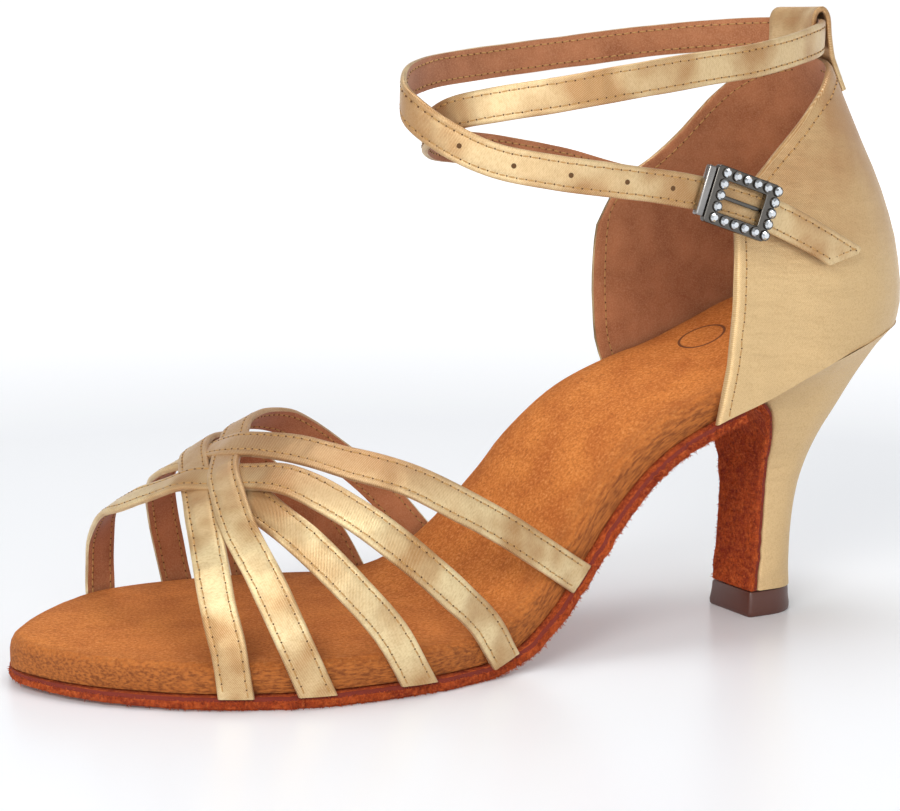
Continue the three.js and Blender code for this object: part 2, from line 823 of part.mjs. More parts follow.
// Where along the strap its outer end passes a share of the ring's length
function ankleReach(along) {
  let t = 1;
  while (ankleLine.getPointAt(t).x < ankleStart + along * ankleLength) t -= 0.001;
  return t;
}

function ankleStation(t) {
  const ahead = ankleLine.getTangentAt(t);
  const across = point(0, 0, 1).addScaledVector(ahead, -ahead.z).normalize();
  return { place: ankleLine.getPointAt(t), across, normal: across.clone().cross(ahead).normalize() };
}

function makeAnkleStrap() {
  const count = 110;
  return ribbon(Array.from({ length: count + 1 }, (_, i) => ankleStation(i / count)), strapWidth, strapThick);
}

// Where the counter's outer face stands at a height, for a place across the back
function counterBack(y, z) {
  let low = insoleStart;
  let high = insoleStart + seatWidth / 2;
  for (let i = 0; i < 30; i += 1) {
    const middle = (low + high) / 2;
    if (counterPoint(middle, 1, z, counterWall).y < Math.abs(y)) low = middle;
    else high = middle;
  }
  return counterPoint(low, 1, z, counterWall).x;
}

// The satin tab over the strap at the back: up the outside of the counter, over and down inside
function makeBackLoop() {
  const topZ = seatHeight + counterHeight;
  const columns = [-1, -0.67, -0.33, 0, 0.33, 0.67, 1].map((s) => (s * loopWidth) / 2);
  const backX = counterBack(0, topZ) - 1.5 * gap;
  const strap = anklePlaces[ankleBack];
  const inside = strap.x + strapThick / 2 + 1.5 * gap;
  const over = strap.z + strapWidth / 2 + 4 * gap;
  const climb = (drop) => [counterBack(0, topZ - drop) - 1.5 * gap, topZ - drop, 0, drop];
  const path = [
    climb(loopFoot),
    climb(loopFoot / 2),
    climb(0.5),
    [mix(backX, strap.x, 0.35), mix(topZ, over, 0.5), 0.3, 0],
    [mix(backX, strap.x, 0.5), over - 1.6, 0.6, 0],
    [mix(backX, strap.x, 0.7), over - 0.5, 0.8, 0],
    [strap.x - 0.2, over, 1, 0],
    [inside - 0.4, over - 0.5, 1, 0],
    [inside, over - 1.6, 1, 0],
    [inside, over - loopFlap / 2, 1, 0],
    [inside, over - loopFlap, 1, 0],
  ];
  const grid = (offset) => path.map(([x, z, front, drop], i) => {
    const before = path[Math.max(i - 1, 0)];
    const after = path[Math.min(i + 1, path.length - 1)];
    const size = Math.hypot(after[0] - before[0], after[1] - before[1]);
    const n = { x: (before[1] - after[1]) / size, z: (after[0] - before[0]) / size };
    return columns.map((y) => {
      const behind = counterBack(y, topZ - drop) - counterBack(0, topZ - drop);
      const curl = mix(behind, ankleCurl(y), front);
      return point(x + n.x * offset + curl, y, z + n.z * offset);
    });
  });
  return wall(grid(loopThick), grid(0));
}

// Buckle: everything in its own frame, X along the strap, Z out of the shoe

const buckleT = ankleReach(0.38);

function buckleFrame() {
  const shape = new THREE.Shape();
  const corner = 1;
  const l = buckleLength / 2;
  const h = buckleHeight / 2;
  shape.moveTo(-l + corner, -h);
  shape.lineTo(l - corner, -h);
  shape.absarc(l - corner, -h + corner, corner, -Math.PI / 2, 0);
  shape.lineTo(l, h - corner);
  shape.absarc(l - corner, h - corner, corner, 0, Math.PI / 2);
  shape.lineTo(-l + corner, h);
  shape.absarc(-l + corner, h - corner, corner, Math.PI / 2, Math.PI);
  shape.lineTo(-l, -h + corner);
  shape.absarc(-l + corner, -h + corner, corner, Math.PI, 1.5 * Math.PI);
  const window = new THREE.Path();
  window.moveTo(-l + buckleBar, -h + buckleBar);
  window.lineTo(-l + buckleBar, h - buckleBar);
  window.lineTo(l - buckleBar, h - buckleBar);
  window.lineTo(l - buckleBar, -h + buckleBar);
  window.closePath();
  shape.holes.push(window);
  return new THREE.ExtrudeGeometry(shape, { depth: buckleThick, bevelEnabled: false, curveSegments: 3 });
}

function material(color, roughness, metalness = 0) {
  return new THREE.MeshStandardMaterial({ color, roughness, metalness });
}

const finishes = {
  satin: material(0xdec496, 0.45),
  insoleCloth: material(0xbe6e2d, 0.9),
  suede: material(0xbe4b1e, 0.95),
  capPlastic: material(0x5f3c32, 0.4),
  gunmetal: material(0x55514c, 0.35, 0.9),
  crystal: material(0xe8eef2, 0.05),
};

function named(name, geometry, finish) {
  const mesh = new THREE.Mesh(geometry, finishes[finish]);
  mesh.name = name;
  return mesh;
}

function makeBuckle() {
  const group = new THREE.Group();
  const at = ankleStation(buckleT);
  const outwardDirection = at.normal.clone().multiplyScalar(Math.sign(at.normal.y));
  const along = point(1, 0, 0).addScaledVector(outwardDirection, -outwardDirection.x).normalize();
  along.applyAxisAngle(outwardDirection, degrees(-buckleTilt));
  const up = outwardDirection.clone().cross(along);
  group.quaternion.setFromRotationMatrix(new THREE.Matrix4().makeBasis(along, up, outwardDirection));
  group.position.copy(at.place).addScaledVector(outwardDirection, strapThick / 2 + gap);
  group.add(named('buckle_frame', buckleFrame(), 'gunmetal'));

  const windowLength = buckleLength - 2 * buckleBar;
  const prong = new THREE.BoxGeometry(windowLength - 2 * gap, prongThick, prongThick);
  prong.translate(0, 0, prongThick / 2);
  group.add(named('buckle_prong', prong, 'gunmetal'));
  const keeper = new THREE.BoxGeometry(keeperWidth, strapWidth + 2 * keeperWidth, buckleThick);
  keeper.translate(buckleLength / 2 + gap + keeperWidth / 2, 0, buckleThick / 2);
  group.add(named('buckle_keeper', keeper, 'gunmetal'));
  const places = [];
  const pitchX = (buckleLength - buckleBar) / 5;
  const pitchY = (buckleHeight - buckleBar) / 4;
  for (let i = 0; i < 6; i += 1) {
    for (const end of [-1, 1]) places.push([-2.5 * pitchX + i * pitchX, (end * (buckleHeight - buckleBar)) / 2]);
  }
  for (let i = 1; i < 4; i += 1) {
    for (const end of [-1, 1]) places.push([(end * (buckleLength - buckleBar)) / 2, -2 * pitchY + i * pitchY]);
  }
  places.forEach(([x, y], i) => {
    const mesh = named(`stone_${String(i + 1).padStart(2, '0')}`, stoneSolid(), 'crystal');
    mesh.position.set(x, y, buckleThick + 0.1);
    group.add(mesh);
  });
  return group;
}

// A low dome with a flat back
function stoneSolid() {
  const rings = [0, 1, 2].map((k) => Array.from({ length: 8 }, (_, i) => {
    const angle = (i / 8) * Math.PI * 2;
    const r = stoneRadius * [1, 0.86, 0.45][k];
    return point(r * Math.cos(angle), r * Math.sin(angle), stoneHeight * [0, 0.55, 1][k]);
  }));
  return loft(rings);
}

const shoe = new THREE.Group();
shoe.add(named('outsole', makeOutsole(), 'suede'));
shoe.add(named('insole', makeInsole(), 'insoleCloth'));
shoe.add(named('heel', makeHeel(), 'satin'));
shoe.add(named('heel_cap', makeHeelCap(), 'capPlastic'));
shoe.add(named('heel_counter', makeCounter(), 'satin'));
shoe.add(named('back_loop', makeBackLoop(), 'satin'));
shoe.add(named('vamp_straps', makeVamp(), 'satin'));
shoe.add(named('ankle_strap', makeAnkleStrap(), 'satin'));
shoe.add(makeBuckle());

// The origin is the middle of the box, on the floor
shoe.updateMatrixWorld(true);
const box = new THREE.Box3().setFromObject(shoe, true);
shoe.position.set(-(box.min.x + box.max.x) / 2, -(box.min.y + box.max.y) / 2, -box.min.z);

const part = new THREE.Group();
part.add(shoe);

export default part;
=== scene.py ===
import math
import random

import bmesh
import bpy
from mathutils import Matrix, Quaternion, Vector, noise


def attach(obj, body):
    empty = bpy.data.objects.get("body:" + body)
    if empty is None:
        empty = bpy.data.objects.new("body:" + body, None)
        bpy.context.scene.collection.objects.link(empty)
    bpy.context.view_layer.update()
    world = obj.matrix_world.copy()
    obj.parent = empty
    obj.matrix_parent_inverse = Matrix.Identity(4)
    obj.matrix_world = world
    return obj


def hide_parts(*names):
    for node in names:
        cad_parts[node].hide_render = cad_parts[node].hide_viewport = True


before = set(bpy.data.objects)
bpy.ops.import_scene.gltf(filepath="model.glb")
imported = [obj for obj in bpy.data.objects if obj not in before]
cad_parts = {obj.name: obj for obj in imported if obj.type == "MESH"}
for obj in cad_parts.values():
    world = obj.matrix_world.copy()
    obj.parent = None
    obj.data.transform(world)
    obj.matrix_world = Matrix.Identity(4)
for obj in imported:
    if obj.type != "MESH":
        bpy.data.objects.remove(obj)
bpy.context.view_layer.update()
random.seed(37)
mm = 0.001

# The shoe's own sizes in millimetres: X to the toe, Y to the outer side, Z up from the floor
shoe = {
    "start": 2, "length": 211.5, "ballWidth": 80, "seatWidth": 47, "seatHeight": 71.3,
    "medialArch": 6, "instepHeight": 62, "toeSpring": 0.8, "bendSkew": 5, "soleThick": 2.8,
    "gap": 0.3, "backX": -106.129, "middleY": 6.953,
}
gap = shoe["gap"]
soleTop = shoe["soleThick"] + gap / 2
toeX = shoe["start"] + shoe["length"]


def table(names, *rows):
    keys = names.split()
    return [dict(zip(keys, row)) for row in rows]


soleLine = table(
    "along rise",
    (0.000, 1.000), (0.047, 0.984), (0.103, 0.934), (0.160, 0.855), (0.216, 0.770), (0.272, 0.700),
    (0.333, 0.603), (0.385, 0.460), (0.432, 0.281), (0.479, 0.120), (0.526, 0.028), (0.577, 0.000),
    (1.000, 0.000),
)
outline = table(
    "along centre seat ball",
    (0.000, 0.000, 0.00, 0.000), (0.019, 0.000, 0.56, 0.000), (0.047, 0.000, 0.82, 0.000),
    (0.085, 0.000, 0.97, 0.000), (0.122, 0.000, 1.00, 0.000), (0.202, -0.006, 0.80, 0.088),
    (0.272, -0.006, 0.60, 0.175), (0.343, -0.008, 0.45, 0.268), (0.413, -0.016, 0.30, 0.391),
    (0.484, -0.050, 0.15, 0.587), (0.554, -0.100, 0.05, 0.796), (0.610, -0.125, 0.00, 0.925),
    (0.671, -0.150, 0.00, 0.985), (0.728, -0.175, 0.00, 1.000), (0.779, -0.204, 0.00, 0.979),
    (0.826, -0.239, 0.00, 0.926), (0.864, -0.253, 0.00, 0.853), (0.897, -0.251, 0.00, 0.740),
    (0.930, -0.229, 0.00, 0.592), (0.958, -0.212, 0.00, 0.437), (0.981, -0.200, 0.00, 0.265),
    (1.000, -0.200, 0.00, 0.000),
)
archLine = table(
    "along arch",
    (0.000, 0.00), (0.140, 0.10), (0.300, 0.75), (0.400, 1.00), (0.480, 0.70), (0.570, 0.10),
    (0.620, 0.00), (1.000, 0.00),
)
crownLine = table(
    "along crown",
    (0.360, 1.560), (0.460, 1.340), (0.554, 1.140), (0.648, 0.980), (0.695, 0.905), (0.742, 0.823),
    (0.793, 0.718), (0.826, 0.653), (0.859, 0.580), (0.906, 0.468), (0.953, 0.330), (1.000, 0.200),
)


def curve(rows, inKey, outKey):
    # smooth through the rows, with no overshoot between them
    x = [row[inKey] for row in rows]
    y = [outKey(row) if callable(outKey) else row[outKey] for row in rows]
    last = len(x) - 1
    secant = [(y[i + 1] - y[i]) / (x[i + 1] - x[i]) for i in range(last)]
    slope = [secant[0]]
    for a, b in zip(secant, secant[1:]):
        slope.append(0 if a * b <= 0 else 2 * a * b / (a + b))
    slope.append(secant[-1])

    def at(t):
        if t <= x[0]:
            return y[0]
        if t >= x[last]:
            return y[last]
        i = max(k for k in range(last) if x[k] <= t)
        h = x[i + 1] - x[i]
        u = (t - x[i]) / h
        v = 1 - u
        return (v * v * (1 + 2 * u) * y[i] + u * u * (1 + 2 * v) * y[i + 1]
                + h * u * v * (v * slope[i] - u * slope[i + 1]))

    return at


def mix(a, b, t):
    return a + (b - a) * t


def clamp(value, low=0.0, high=1.0):
    return max(low, min(high, value))


def share(x):
    return (x - shoe["start"]) / shoe["length"]


def atShare(along):
    return shoe["start"] + shoe["length"] * along


riseAt = curve(soleLine, "along", "rise")
archAt = curve(archLine, "along", "arch")
crownAt = curve(crownLine, "along", "crown")
centreAt = curve(outline, "along", lambda row: row["centre"] * shoe["ballWidth"] / 2)
halfSquaredAt = curve(
    outline, "along",
    lambda row: (row["seat"] * shoe["seatWidth"] / 2 + row["ball"] * shoe["ballWidth"] / 2) ** 2,
)


def centreY(x):
    return centreAt(share(x))


def halfWidth(x):
    return math.sqrt(max(halfSquaredAt(share(x)), 0))


def toeAt(along):
    return clamp((along - 0.8) / 0.2)


def soleHeight(x, y):
    along = share(x + y * math.tan(math.radians(shoe["bendSkew"])))
    middle = soleTop + (shoe["seatHeight"] - soleTop) * riseAt(along)
    middle += shoe["toeSpring"] * toeAt(share(x)) ** 2
    inward = (centreY(x) - y) / max(halfWidth(x), shoe["seatWidth"] / 4)
    return middle + shoe["medialArch"] * archAt(share(x)) * (1 + clamp(inward, -1.6, 1.6)) / 2


def soleNormal(x):
    y = centreY(x)
    climb = soleHeight(x + 0.5, y) - soleHeight(x - 0.5, y)
    return Vector((-climb, 0, 1)).normalized()


def overSole(x, y, lift):
    return Vector((x, y, soleHeight(x, y))) + soleNormal(x) * lift


def inFrame(p):
    # from the shoe's millimetres to the frame's metres
    return Vector((p[0] + shoe["backX"], p[1] + shoe["middleY"], p[2])) * mm


def sections(start, stop, step, edge=24, count=9):
    near = [edge * (1 - math.cos((i + 0.3) / count * math.pi / 2)) for i in range(count)]
    inner = max(2, round((stop - start - 2 * edge) / step))
    middle = [mix(start + edge, stop - edge, i / inner) for i in range(inner + 1)]
    return [start + d for d in near] + middle + [stop - d for d in reversed(near)]


def splined(points, perSegment):
    # centripetal spline through the points: places and directions, perSegment to each stretch
    ends = [points[0] * 2 - points[1]] + list(points) + [points[-1] * 2 - points[-2]]
    made = []
    for i in range(len(points) - 1):
        a, b, c, d = ends[i:i + 4]
        ab, bc, cd = (math.sqrt(max((q - p).length, 1e-6)) for p, q in ((a, b), (b, c), (c, d)))
        leave = ((b - a) / ab - (c - a) / (ab + bc) + (c - b) / bc) * bc
        arrive = ((c - b) / bc - (d - b) / (bc + cd) + (d - c) / cd) * bc
        steps = perSegment + (1 if i == len(points) - 2 else 0)
        for k in range(steps):
            t = k / perSegment
            place = (b + leave * t + (c * 3 - b * 3 - leave * 2 - arrive) * t ** 2
                     + (b * 2 - c * 2 + leave + arrive) * t ** 3)
            ahead = (leave + (c * 3 - b * 3 - leave * 2 - arrive) * 2 * t
                     + (b * 2 - c * 2 + leave + arrive) * 3 * t ** 2)
            made.append((place, ahead.normalized()))
    return made


# Meshes

def sweep(bm, rings, cloth):
    # extrudes the first ring through all the others; cloth keeps each corner's place on the fabric
    layer = bm.verts.layers.float_vector.new("cloth")
    grain = bm.verts.layers.float_vector.new("grain")
    row = [bm.verts.new(p) for p in rings[0]]
    edges = [bm.edges.new((v, row[(i + 1) % len(row)])) for i, v in enumerate(row)]
    for v, c, ahead in zip(row, cloth[0], rings[1]):
        v[layer] = c
        v[grain] = (ahead - v.co).normalized()
    first = list(edges)
    for before, ring, marks in zip(rings, rings[1:], cloth[1:]):
        made = bmesh.ops.extrude_edge_only(bm, edges=edges)["geom"]
        fresh = {v for v in made if isinstance(v, bmesh.types.BMVert)}
        edges = [e for e in made if isinstance(e, bmesh.types.BMEdge) and set(e.verts) <= fresh]
        row = [next(e.other_vert(v) for e in v.link_edges if e.other_vert(v) in fresh) for v in row]
        for v, p, c, behind in zip(row, ring, marks, before):
            v.co = p
            v[layer] = c
            v[grain] = (p - behind).normalized()
    bmesh.ops.contextual_create(bm, geom=first)
    bmesh.ops.contextual_create(bm, geom=edges)


def finishPiece(name, bm, materials, node=None, smooth=50, pick=None):
    bmesh.ops.recalc_face_normals(bm, faces=bm.faces)
    layer = bm.verts.layers.float_vector.get("cloth")
    for f in bm.faces:
        f.smooth = True
        if pick:
            f.material_index = pick(f, layer)
    sharp = math.radians(smooth)
    for e in bm.edges:
        e.smooth = len(e.link_faces) == 2 and e.calc_face_angle(0) < sharp
    mesh = bpy.data.meshes.new(name)
    bm.to_mesh(mesh)
    bm.free()
    for m in materials:
        mesh.materials.append(m)
    piece = bpy.data.objects.new(name, mesh)
    bpy.context.collection.objects.link(piece)
    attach(piece, "root")
    if node:
        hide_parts(*([node] if isinstance(node, str) else node))
    return piece


liningMark = 0.45  # the cloth's third value is 1 on the outside and 0 on the lining


def bySide(f, layer):
    # outer faces take the first material, the lined ones the second
    return 0 if sum(v[layer].z for v in f.verts) / len(f.verts) > liningMark else 1


def template(make):
    bm = bmesh.new()
    make(bm)
    mesh = bpy.data.meshes.new("template")
    bm.to_mesh(mesh)
    bm.free()
    return mesh


def scatter(bm, shape, places):
    # adds the little shape once at each matrix
    for place in places:
        shape.transform(place)
        bm.from_mesh(shape)
        shape.transform(place.inverted())


def scattered(name, shape, places, material, smooth=50):
    bm = bmesh.new()
    scatter(bm, shape, places)
    finishPiece(name, bm, [material], None, smooth)


def cutFlat(bm, place, normal, **cleared):
    # cuts the mesh at a plane and closes it there
    cut = bmesh.ops.bisect_plane(
        bm, geom=[*bm.verts, *bm.edges, *bm.faces], plane_co=inFrame(place), plane_no=normal, **cleared)
    rim = [e for e in cut["geom_cut"] if isinstance(e, bmesh.types.BMEdge)]
    bmesh.ops.contextual_create(bm, geom=rim)


# Materials

def linear(hexColour):
    parts = [int(hexColour[i:i + 2], 16) / 255 for i in (1, 3, 5)]
    return tuple(c / 12.92 if c <= 0.04045 else ((c + 0.055) / 1.055) ** 2.4 for c in parts) + (1,)


def makeMaterial(name, colour, roughness, **extra):
    material = bpy.data.materials.new(name)
    material.use_nodes = True
    tree = material.node_tree
    shader = tree.nodes["Principled BSDF"]
    shader.inputs["Base Color"].default_value = linear(colour)
    shader.inputs["Roughness"].default_value = roughness
    for key, value in extra.items():
        shader.inputs[key.replace("_", " ")].default_value = value
    return material, tree, shader


def add(tree, kind, links=None, **values):
    # one node, with its sockets linked or set by name, and its own settings
    node = tree.nodes.new(kind)
    for key, value in values.items():
        setattr(node, key, value)
    for key, value in (links or {}).items():
        socket = node.inputs[key]
        if isinstance(value, bpy.types.NodeSocket):
            tree.links.new(value, socket)
        else:
            socket.default_value = value
    return node


def clothPlace(tree):
    return add(tree, "ShaderNodeAttribute", attribute_name="cloth").outputs["Vector"]


def objectPlace(tree):
    return add(tree, "ShaderNodeTexCoord").outputs["Object"]


def noiseOf(tree, place, grain, detail=4, roughness=0.55):
    # grain is the size of the pattern in millimetres
    links = {"Vector": place, "Scale": 1 / (grain * mm), "Detail": detail, "Roughness": roughness}
    return add(tree, "ShaderNodeTexNoise", links).outputs["Fac"]


def ranged(tree, value, low, high, toLow=0.0, toHigh=1.0):
    links = {"Value": value, "From Min": low, "From Max": high, "To Min": toLow, "To Max": toHigh}
    return add(tree, "ShaderNodeMapRange", links).outputs["Result"]


def product(tree, first, second):
    return add(tree, "ShaderNodeMath", {0: first, 1: second}, operation="MULTIPLY").outputs[0]


def heightOf(tree, place):
    return add(tree, "ShaderNodeSeparateXYZ", {"Vector": place}).outputs["Z"]


def blend(tree, factor, first, second, low=0.3, high=0.7):
    links = {"Factor": ranged(tree, factor, low, high)}
    node = add(tree, "ShaderNodeMix", links, data_type="RGBA")
    for socket, value in ((node.inputs[6], first), (node.inputs[7], second)):
        if isinstance(value, str):
            socket.default_value = linear(value)
        else:
            tree.links.new(value, socket)
    return node.outputs[2]


def bumped(tree, shader, layers):
    # layers: height socket, depth in millimetres
    normal = None
    for height, depth in layers:
        links = {"Height": height, "Distance": depth * mm, "Strength": 1.0}
        if normal is not None:
            links["Normal"] = normal
        normal = add(tree, "ShaderNodeBump", links).outputs["Normal"]
    tree.links.new(normal, shader.inputs["Normal"])


def stretched(tree, place, by):
    return add(tree, "ShaderNodeVectorMath", {0: place, 1: by}, operation="MULTIPLY").outputs["Vector"]


twillPitch = 0.44


def satin(name, onCloth):
    material, tree, shader = makeMaterial(
        name, "#D9BE8C", 0.4, Metallic=0.6 if onCloth else 0.5, Anisotropic=0.65,
        Anisotropic_Rotation=0.25, Sheen_Weight=0.08, Sheen_Roughness=0.4)
    grain = add(tree, "ShaderNodeAttribute", attribute_name="grain").outputs["Vector"]
    tree.links.new(grain, shader.inputs["Tangent"])
    whole = objectPlace(tree)
    place = clothPlace(tree) if onCloth else whole
    twill = add(tree, "ShaderNodeTexWave", {
        "Vector": place, "Scale": 628 / twillPitch, "Distortion": 0.8, "Detail": 1, "Detail Scale": 2,
    }, bands_direction="DIAGONAL").outputs["Fac"]
    cloudy = noiseOf(tree, whole, 13, 2)
    threads = noiseOf(tree, stretched(tree, place, (1.0, 0.4, 1.0)), 0.35, 3)
    up = heightOf(tree, whole)
    if onCloth:
        # the strap rises and falls a little along its length
        creases = noiseOf(tree, stretched(tree, place, (1.0, 0.25, 0.0)), 9, 2)
        # painted highlight and painted shade: paler where it bulges, browner over the crossing of the toe
        # straps, with random paler and browner patches for the satin's bright and dark bands
        crossingShade = ranged(tree, up, 0.036, 0.047, 0.0, 0.5)
        past = ranged(tree, up, 0.056, 0.060, 1.0, 0.35)
        shade = blend(tree, cloudy, "#A9783F", "#E4CE9E", 0.36, 0.6)
        shade = blend(tree, product(tree, crossingShade, past), shade, "#A87140", 0.0, 0.62)
    else:
        # painted shade: browner at the collar in random patches, paler towards the seat
        creases = noiseOf(tree, stretched(tree, whole, (0.3, 0.3, 1.0)), 3.6, 2)
        collarShade = ranged(tree, up, 0.080, 0.118)
        shade = blend(tree, product(tree, collarShade, cloudy), "#CFAD79", "#A87440", 0.05, 0.52)
    # the twill lines painted paler: a painted highlight on the weave's real pattern
    shade = blend(tree, twill, shade, "#EAD5AC", 0.1, 2.2)
    # darker where the threads sink: painted shade between the threads, over the weave's real texture
    shade = blend(tree, threads, "#A5763E", shade, -0.3, 0.55)
    tree.links.new(shade, shader.inputs["Base Color"])
    tree.links.new(ranged(tree, twill, 0.0, 1.0, 0.5, 0.38), shader.inputs["Roughness"])
    bumped(tree, shader, [(twill, 0.03), (threads, 0.05), (creases, 0.8 if onCloth else 0.5),
                          (cloudy, 0.4)])
    return material


strapSatin = satin("champagne satin twill on straps", True)
plainSatin = satin("champagne satin twill", False)


def makeLining():
    material, tree, shader = makeMaterial("brown nubuck lining", "#96593A", 0.88, Sheen_Weight=0.2)
    place = objectPlace(tree)
    nap = noiseOf(tree, place, 0.35, 5, 0.65)
    broad = noiseOf(tree, place, 8, 3)
    shade = blend(tree, broad, "#8F5431", "#B1724A")
    tree.links.new(blend(tree, nap, shade, "#BE8760", 0.42, 0.8), shader.inputs["Base Color"])
    bumped(tree, shader, [(nap, 0.06)])
    return material


lining = makeLining()


# a plain printed ring on the seat, with nothing in it; its line fades out from thin to wide
seatRing = {"x": 44.1, "y": -7.9, "radius": 5.4, "thin": 0.22, "wide": 0.42}


def makeInsoleCloth():
    material, tree, shader = makeMaterial(
        "cognac brushed microfibre", "#B5652B", 0.92, Sheen_Weight=0.25, Sheen_Roughness=0.5)
    shader.inputs["Sheen Tint"].default_value = linear("#E8924A")
    place = objectPlace(tree)
    cloth = clothPlace(tree)
    nap = noiseOf(tree, place, 0.7, 6, 0.75)
    ribs = noiseOf(tree, stretched(tree, cloth, (0.25, 0.7, 0.001)), 0.5, 4, 0.62)
    broad = noiseOf(tree, place, 9, 4)
    height = heightOf(tree, cloth)
    wall = ranged(tree, height, 6.35, 4.6)
    nearEdge = ranged(tree, height, 6.72, 6.45)
    ribbed = product(tree, ribs, nearEdge)
    shade = blend(tree, broad, "#B4601C", "#CE7A30", 0.34, 0.66)
    shade = blend(tree, nap, "#8F4A15", shade, 0.3, 0.5)
    shade = blend(tree, nap, shade, "#E3A05C", 0.5, 0.78)
    # painted shade: the rib grooves are darker, and the side wall and the rim above it take the darker
    # rib colour, over the cloth's real ribs
    ribShade = blend(tree, ribs, "#743A13", "#B4692C", 0.38, 0.6)
    shade = blend(tree, nearEdge, shade, ribShade, 0.0, 2.6)
    shade = blend(tree, wall, shade, ribShade, 0.0, 1.2)
    split = add(tree, "ShaderNodeSeparateXYZ", {"Vector": place})
    flat = add(tree, "ShaderNodeCombineXYZ", {
        "X": split.outputs["X"], "Y": split.outputs["Y"]}).outputs["Vector"]
    middle = inFrame((seatRing["x"], seatRing["y"], 0))
    away = add(tree, "ShaderNodeVectorMath", {0: flat, 1: middle}, operation="DISTANCE")
    off = add(tree, "ShaderNodeMath", {
        0: away.outputs["Value"], 1: seatRing["radius"] * mm}, operation="SUBTRACT")
    band = add(tree, "ShaderNodeMath", {0: off.outputs[0]}, operation="ABSOLUTE").outputs[0]
    shade = blend(tree, band, "#5E2E14", shade, seatRing["thin"] * mm, seatRing["wide"] * mm)
    tree.links.new(shade, shader.inputs["Base Color"])
    bumped(tree, shader, [(nap, 0.16), (ribbed, 0.45), (broad, 0.35)])
    return material


insoleCloth = makeInsoleCloth()


def makeSuede():
    material, tree, shader = makeMaterial(
        "rust split suede", "#B5471C", 0.97, Sheen_Weight=0.15, Sheen_Roughness=0.6)
    shader.inputs["Sheen Tint"].default_value = linear("#F0803C")
    place = objectPlace(tree)
    nap = noiseOf(tree, place, 0.9, 8, 0.8)
    broad = noiseOf(tree, place, 4, 4)
    shade = blend(tree, broad, "#A8330A", "#D05516", 0.36, 0.64)
    shade = blend(tree, nap, shade, "#F2803C", 0.5, 0.68)
    shade = blend(tree, nap, "#5E1604", shade, 0.34, 0.48)
    tree.links.new(shade, shader.inputs["Base Color"])
    bumped(tree, shader, [(nap, 1.1), (broad, 0.5)])
    return material


suede = makeSuede()


def makePlain(name, colour, roughness, grain, depth, **extra):
    material, tree, shader = makeMaterial(name, colour, roughness, **extra)
    height = noiseOf(tree, objectPlace(tree), grain, 3)
    bumped(tree, shader, [(height, depth)])
    return material


suedeEdge = makePlain("dark cut edge of the suede", "#7A2B1C", 0.95, 0.5, 0.3)
capPlastic = makePlain("dark brown moulded plastic", "#553026", 0.38, 1.2, 0.03)
gunmetal = makePlain("gunmetal plated zinc", "#625F5B", 0.24, 0.8, 0.01, Metallic=1.0)
nickel = makePlain("bright nickel plate", "#8F8D8B", 0.2, 0.8, 0.006, Metallic=1.0)
crystal = makePlain(
    "foil-backed cut glass", "#CDD2D7", 0.06, 3, 0.001, Metallic=0.9, Coat_Weight=1.0, IOR=1.55)
thread = makePlain("tan polyester thread", "#B48A50", 0.6, 0.25, 0.05)
# painted shade: the dark inside the punched holes and the needle holes
holeShade = makePlain("painted shade in punched and needle holes", "#5C3D1E", 0.9, 0.4, 0.05)
print("materials made")

stitchShape = template(lambda bm: bmesh.ops.create_icosphere(bm, subdivisions=2, radius=1))
needleShape = template(lambda bm: bmesh.ops.create_icosphere(bm, subdivisions=1, radius=1))
stitching = {
    "pitch": 2.0, "length": 1.5, "thick": 0.17, "inset": 1.3, "needle": 0.22, "wobble": 6,
    "seamWobble": 5,
}


def stitchAt(place, ahead, normal, wobble=stitching["wobble"]):
    # a stitch as a matrix: long along the seam, sunk by half in the cloth
    turn = Quaternion(normal, math.radians(random.uniform(-wobble, wobble)))
    x = turn @ ahead
    z = normal
    y = z.cross(x).normalized()
    s = stitching
    scale = Vector((s["length"] / 2 * random.uniform(0.9, 1.08), s["thick"], s["thick"] * 1.1)) * mm
    basis = Matrix((x * scale.x, y * scale.y, z * scale.z)).transposed().to_4x4()
    return Matrix.Translation(inFrame(place)) @ basis


def needleAt(stitch):
    # the needle's hole at a stitch's end, a dot of painted shade darker than the thread
    length = stitch.col[0].xyz.length
    end = stitch.translation + stitch.col[0].xyz * (stitching["pitch"] / 2 * mm / length)
    return Matrix.Translation(end) @ Matrix.Scale(stitching["needle"] * mm, 4)


def sew(name, stitches):
    scattered(f"{name}_stitching", stitchShape, stitches, thread)
    needles = [needleAt(stitch) for stitch in stitches]
    scattered(f"{name}_needle_holes", needleShape, needles, holeShade)


# Straps: stations hold a place, the direction ahead, the direction across and the outward normal

# ride: how far the middle of the solid strap lies off what it touches
strap = {
    "width": 7.5, "thick": 1.5, "groove": 0.12, "crown": 0.06, "weaveLift": 0.75, "footReach": 6,
    "ride": 0.8,
}
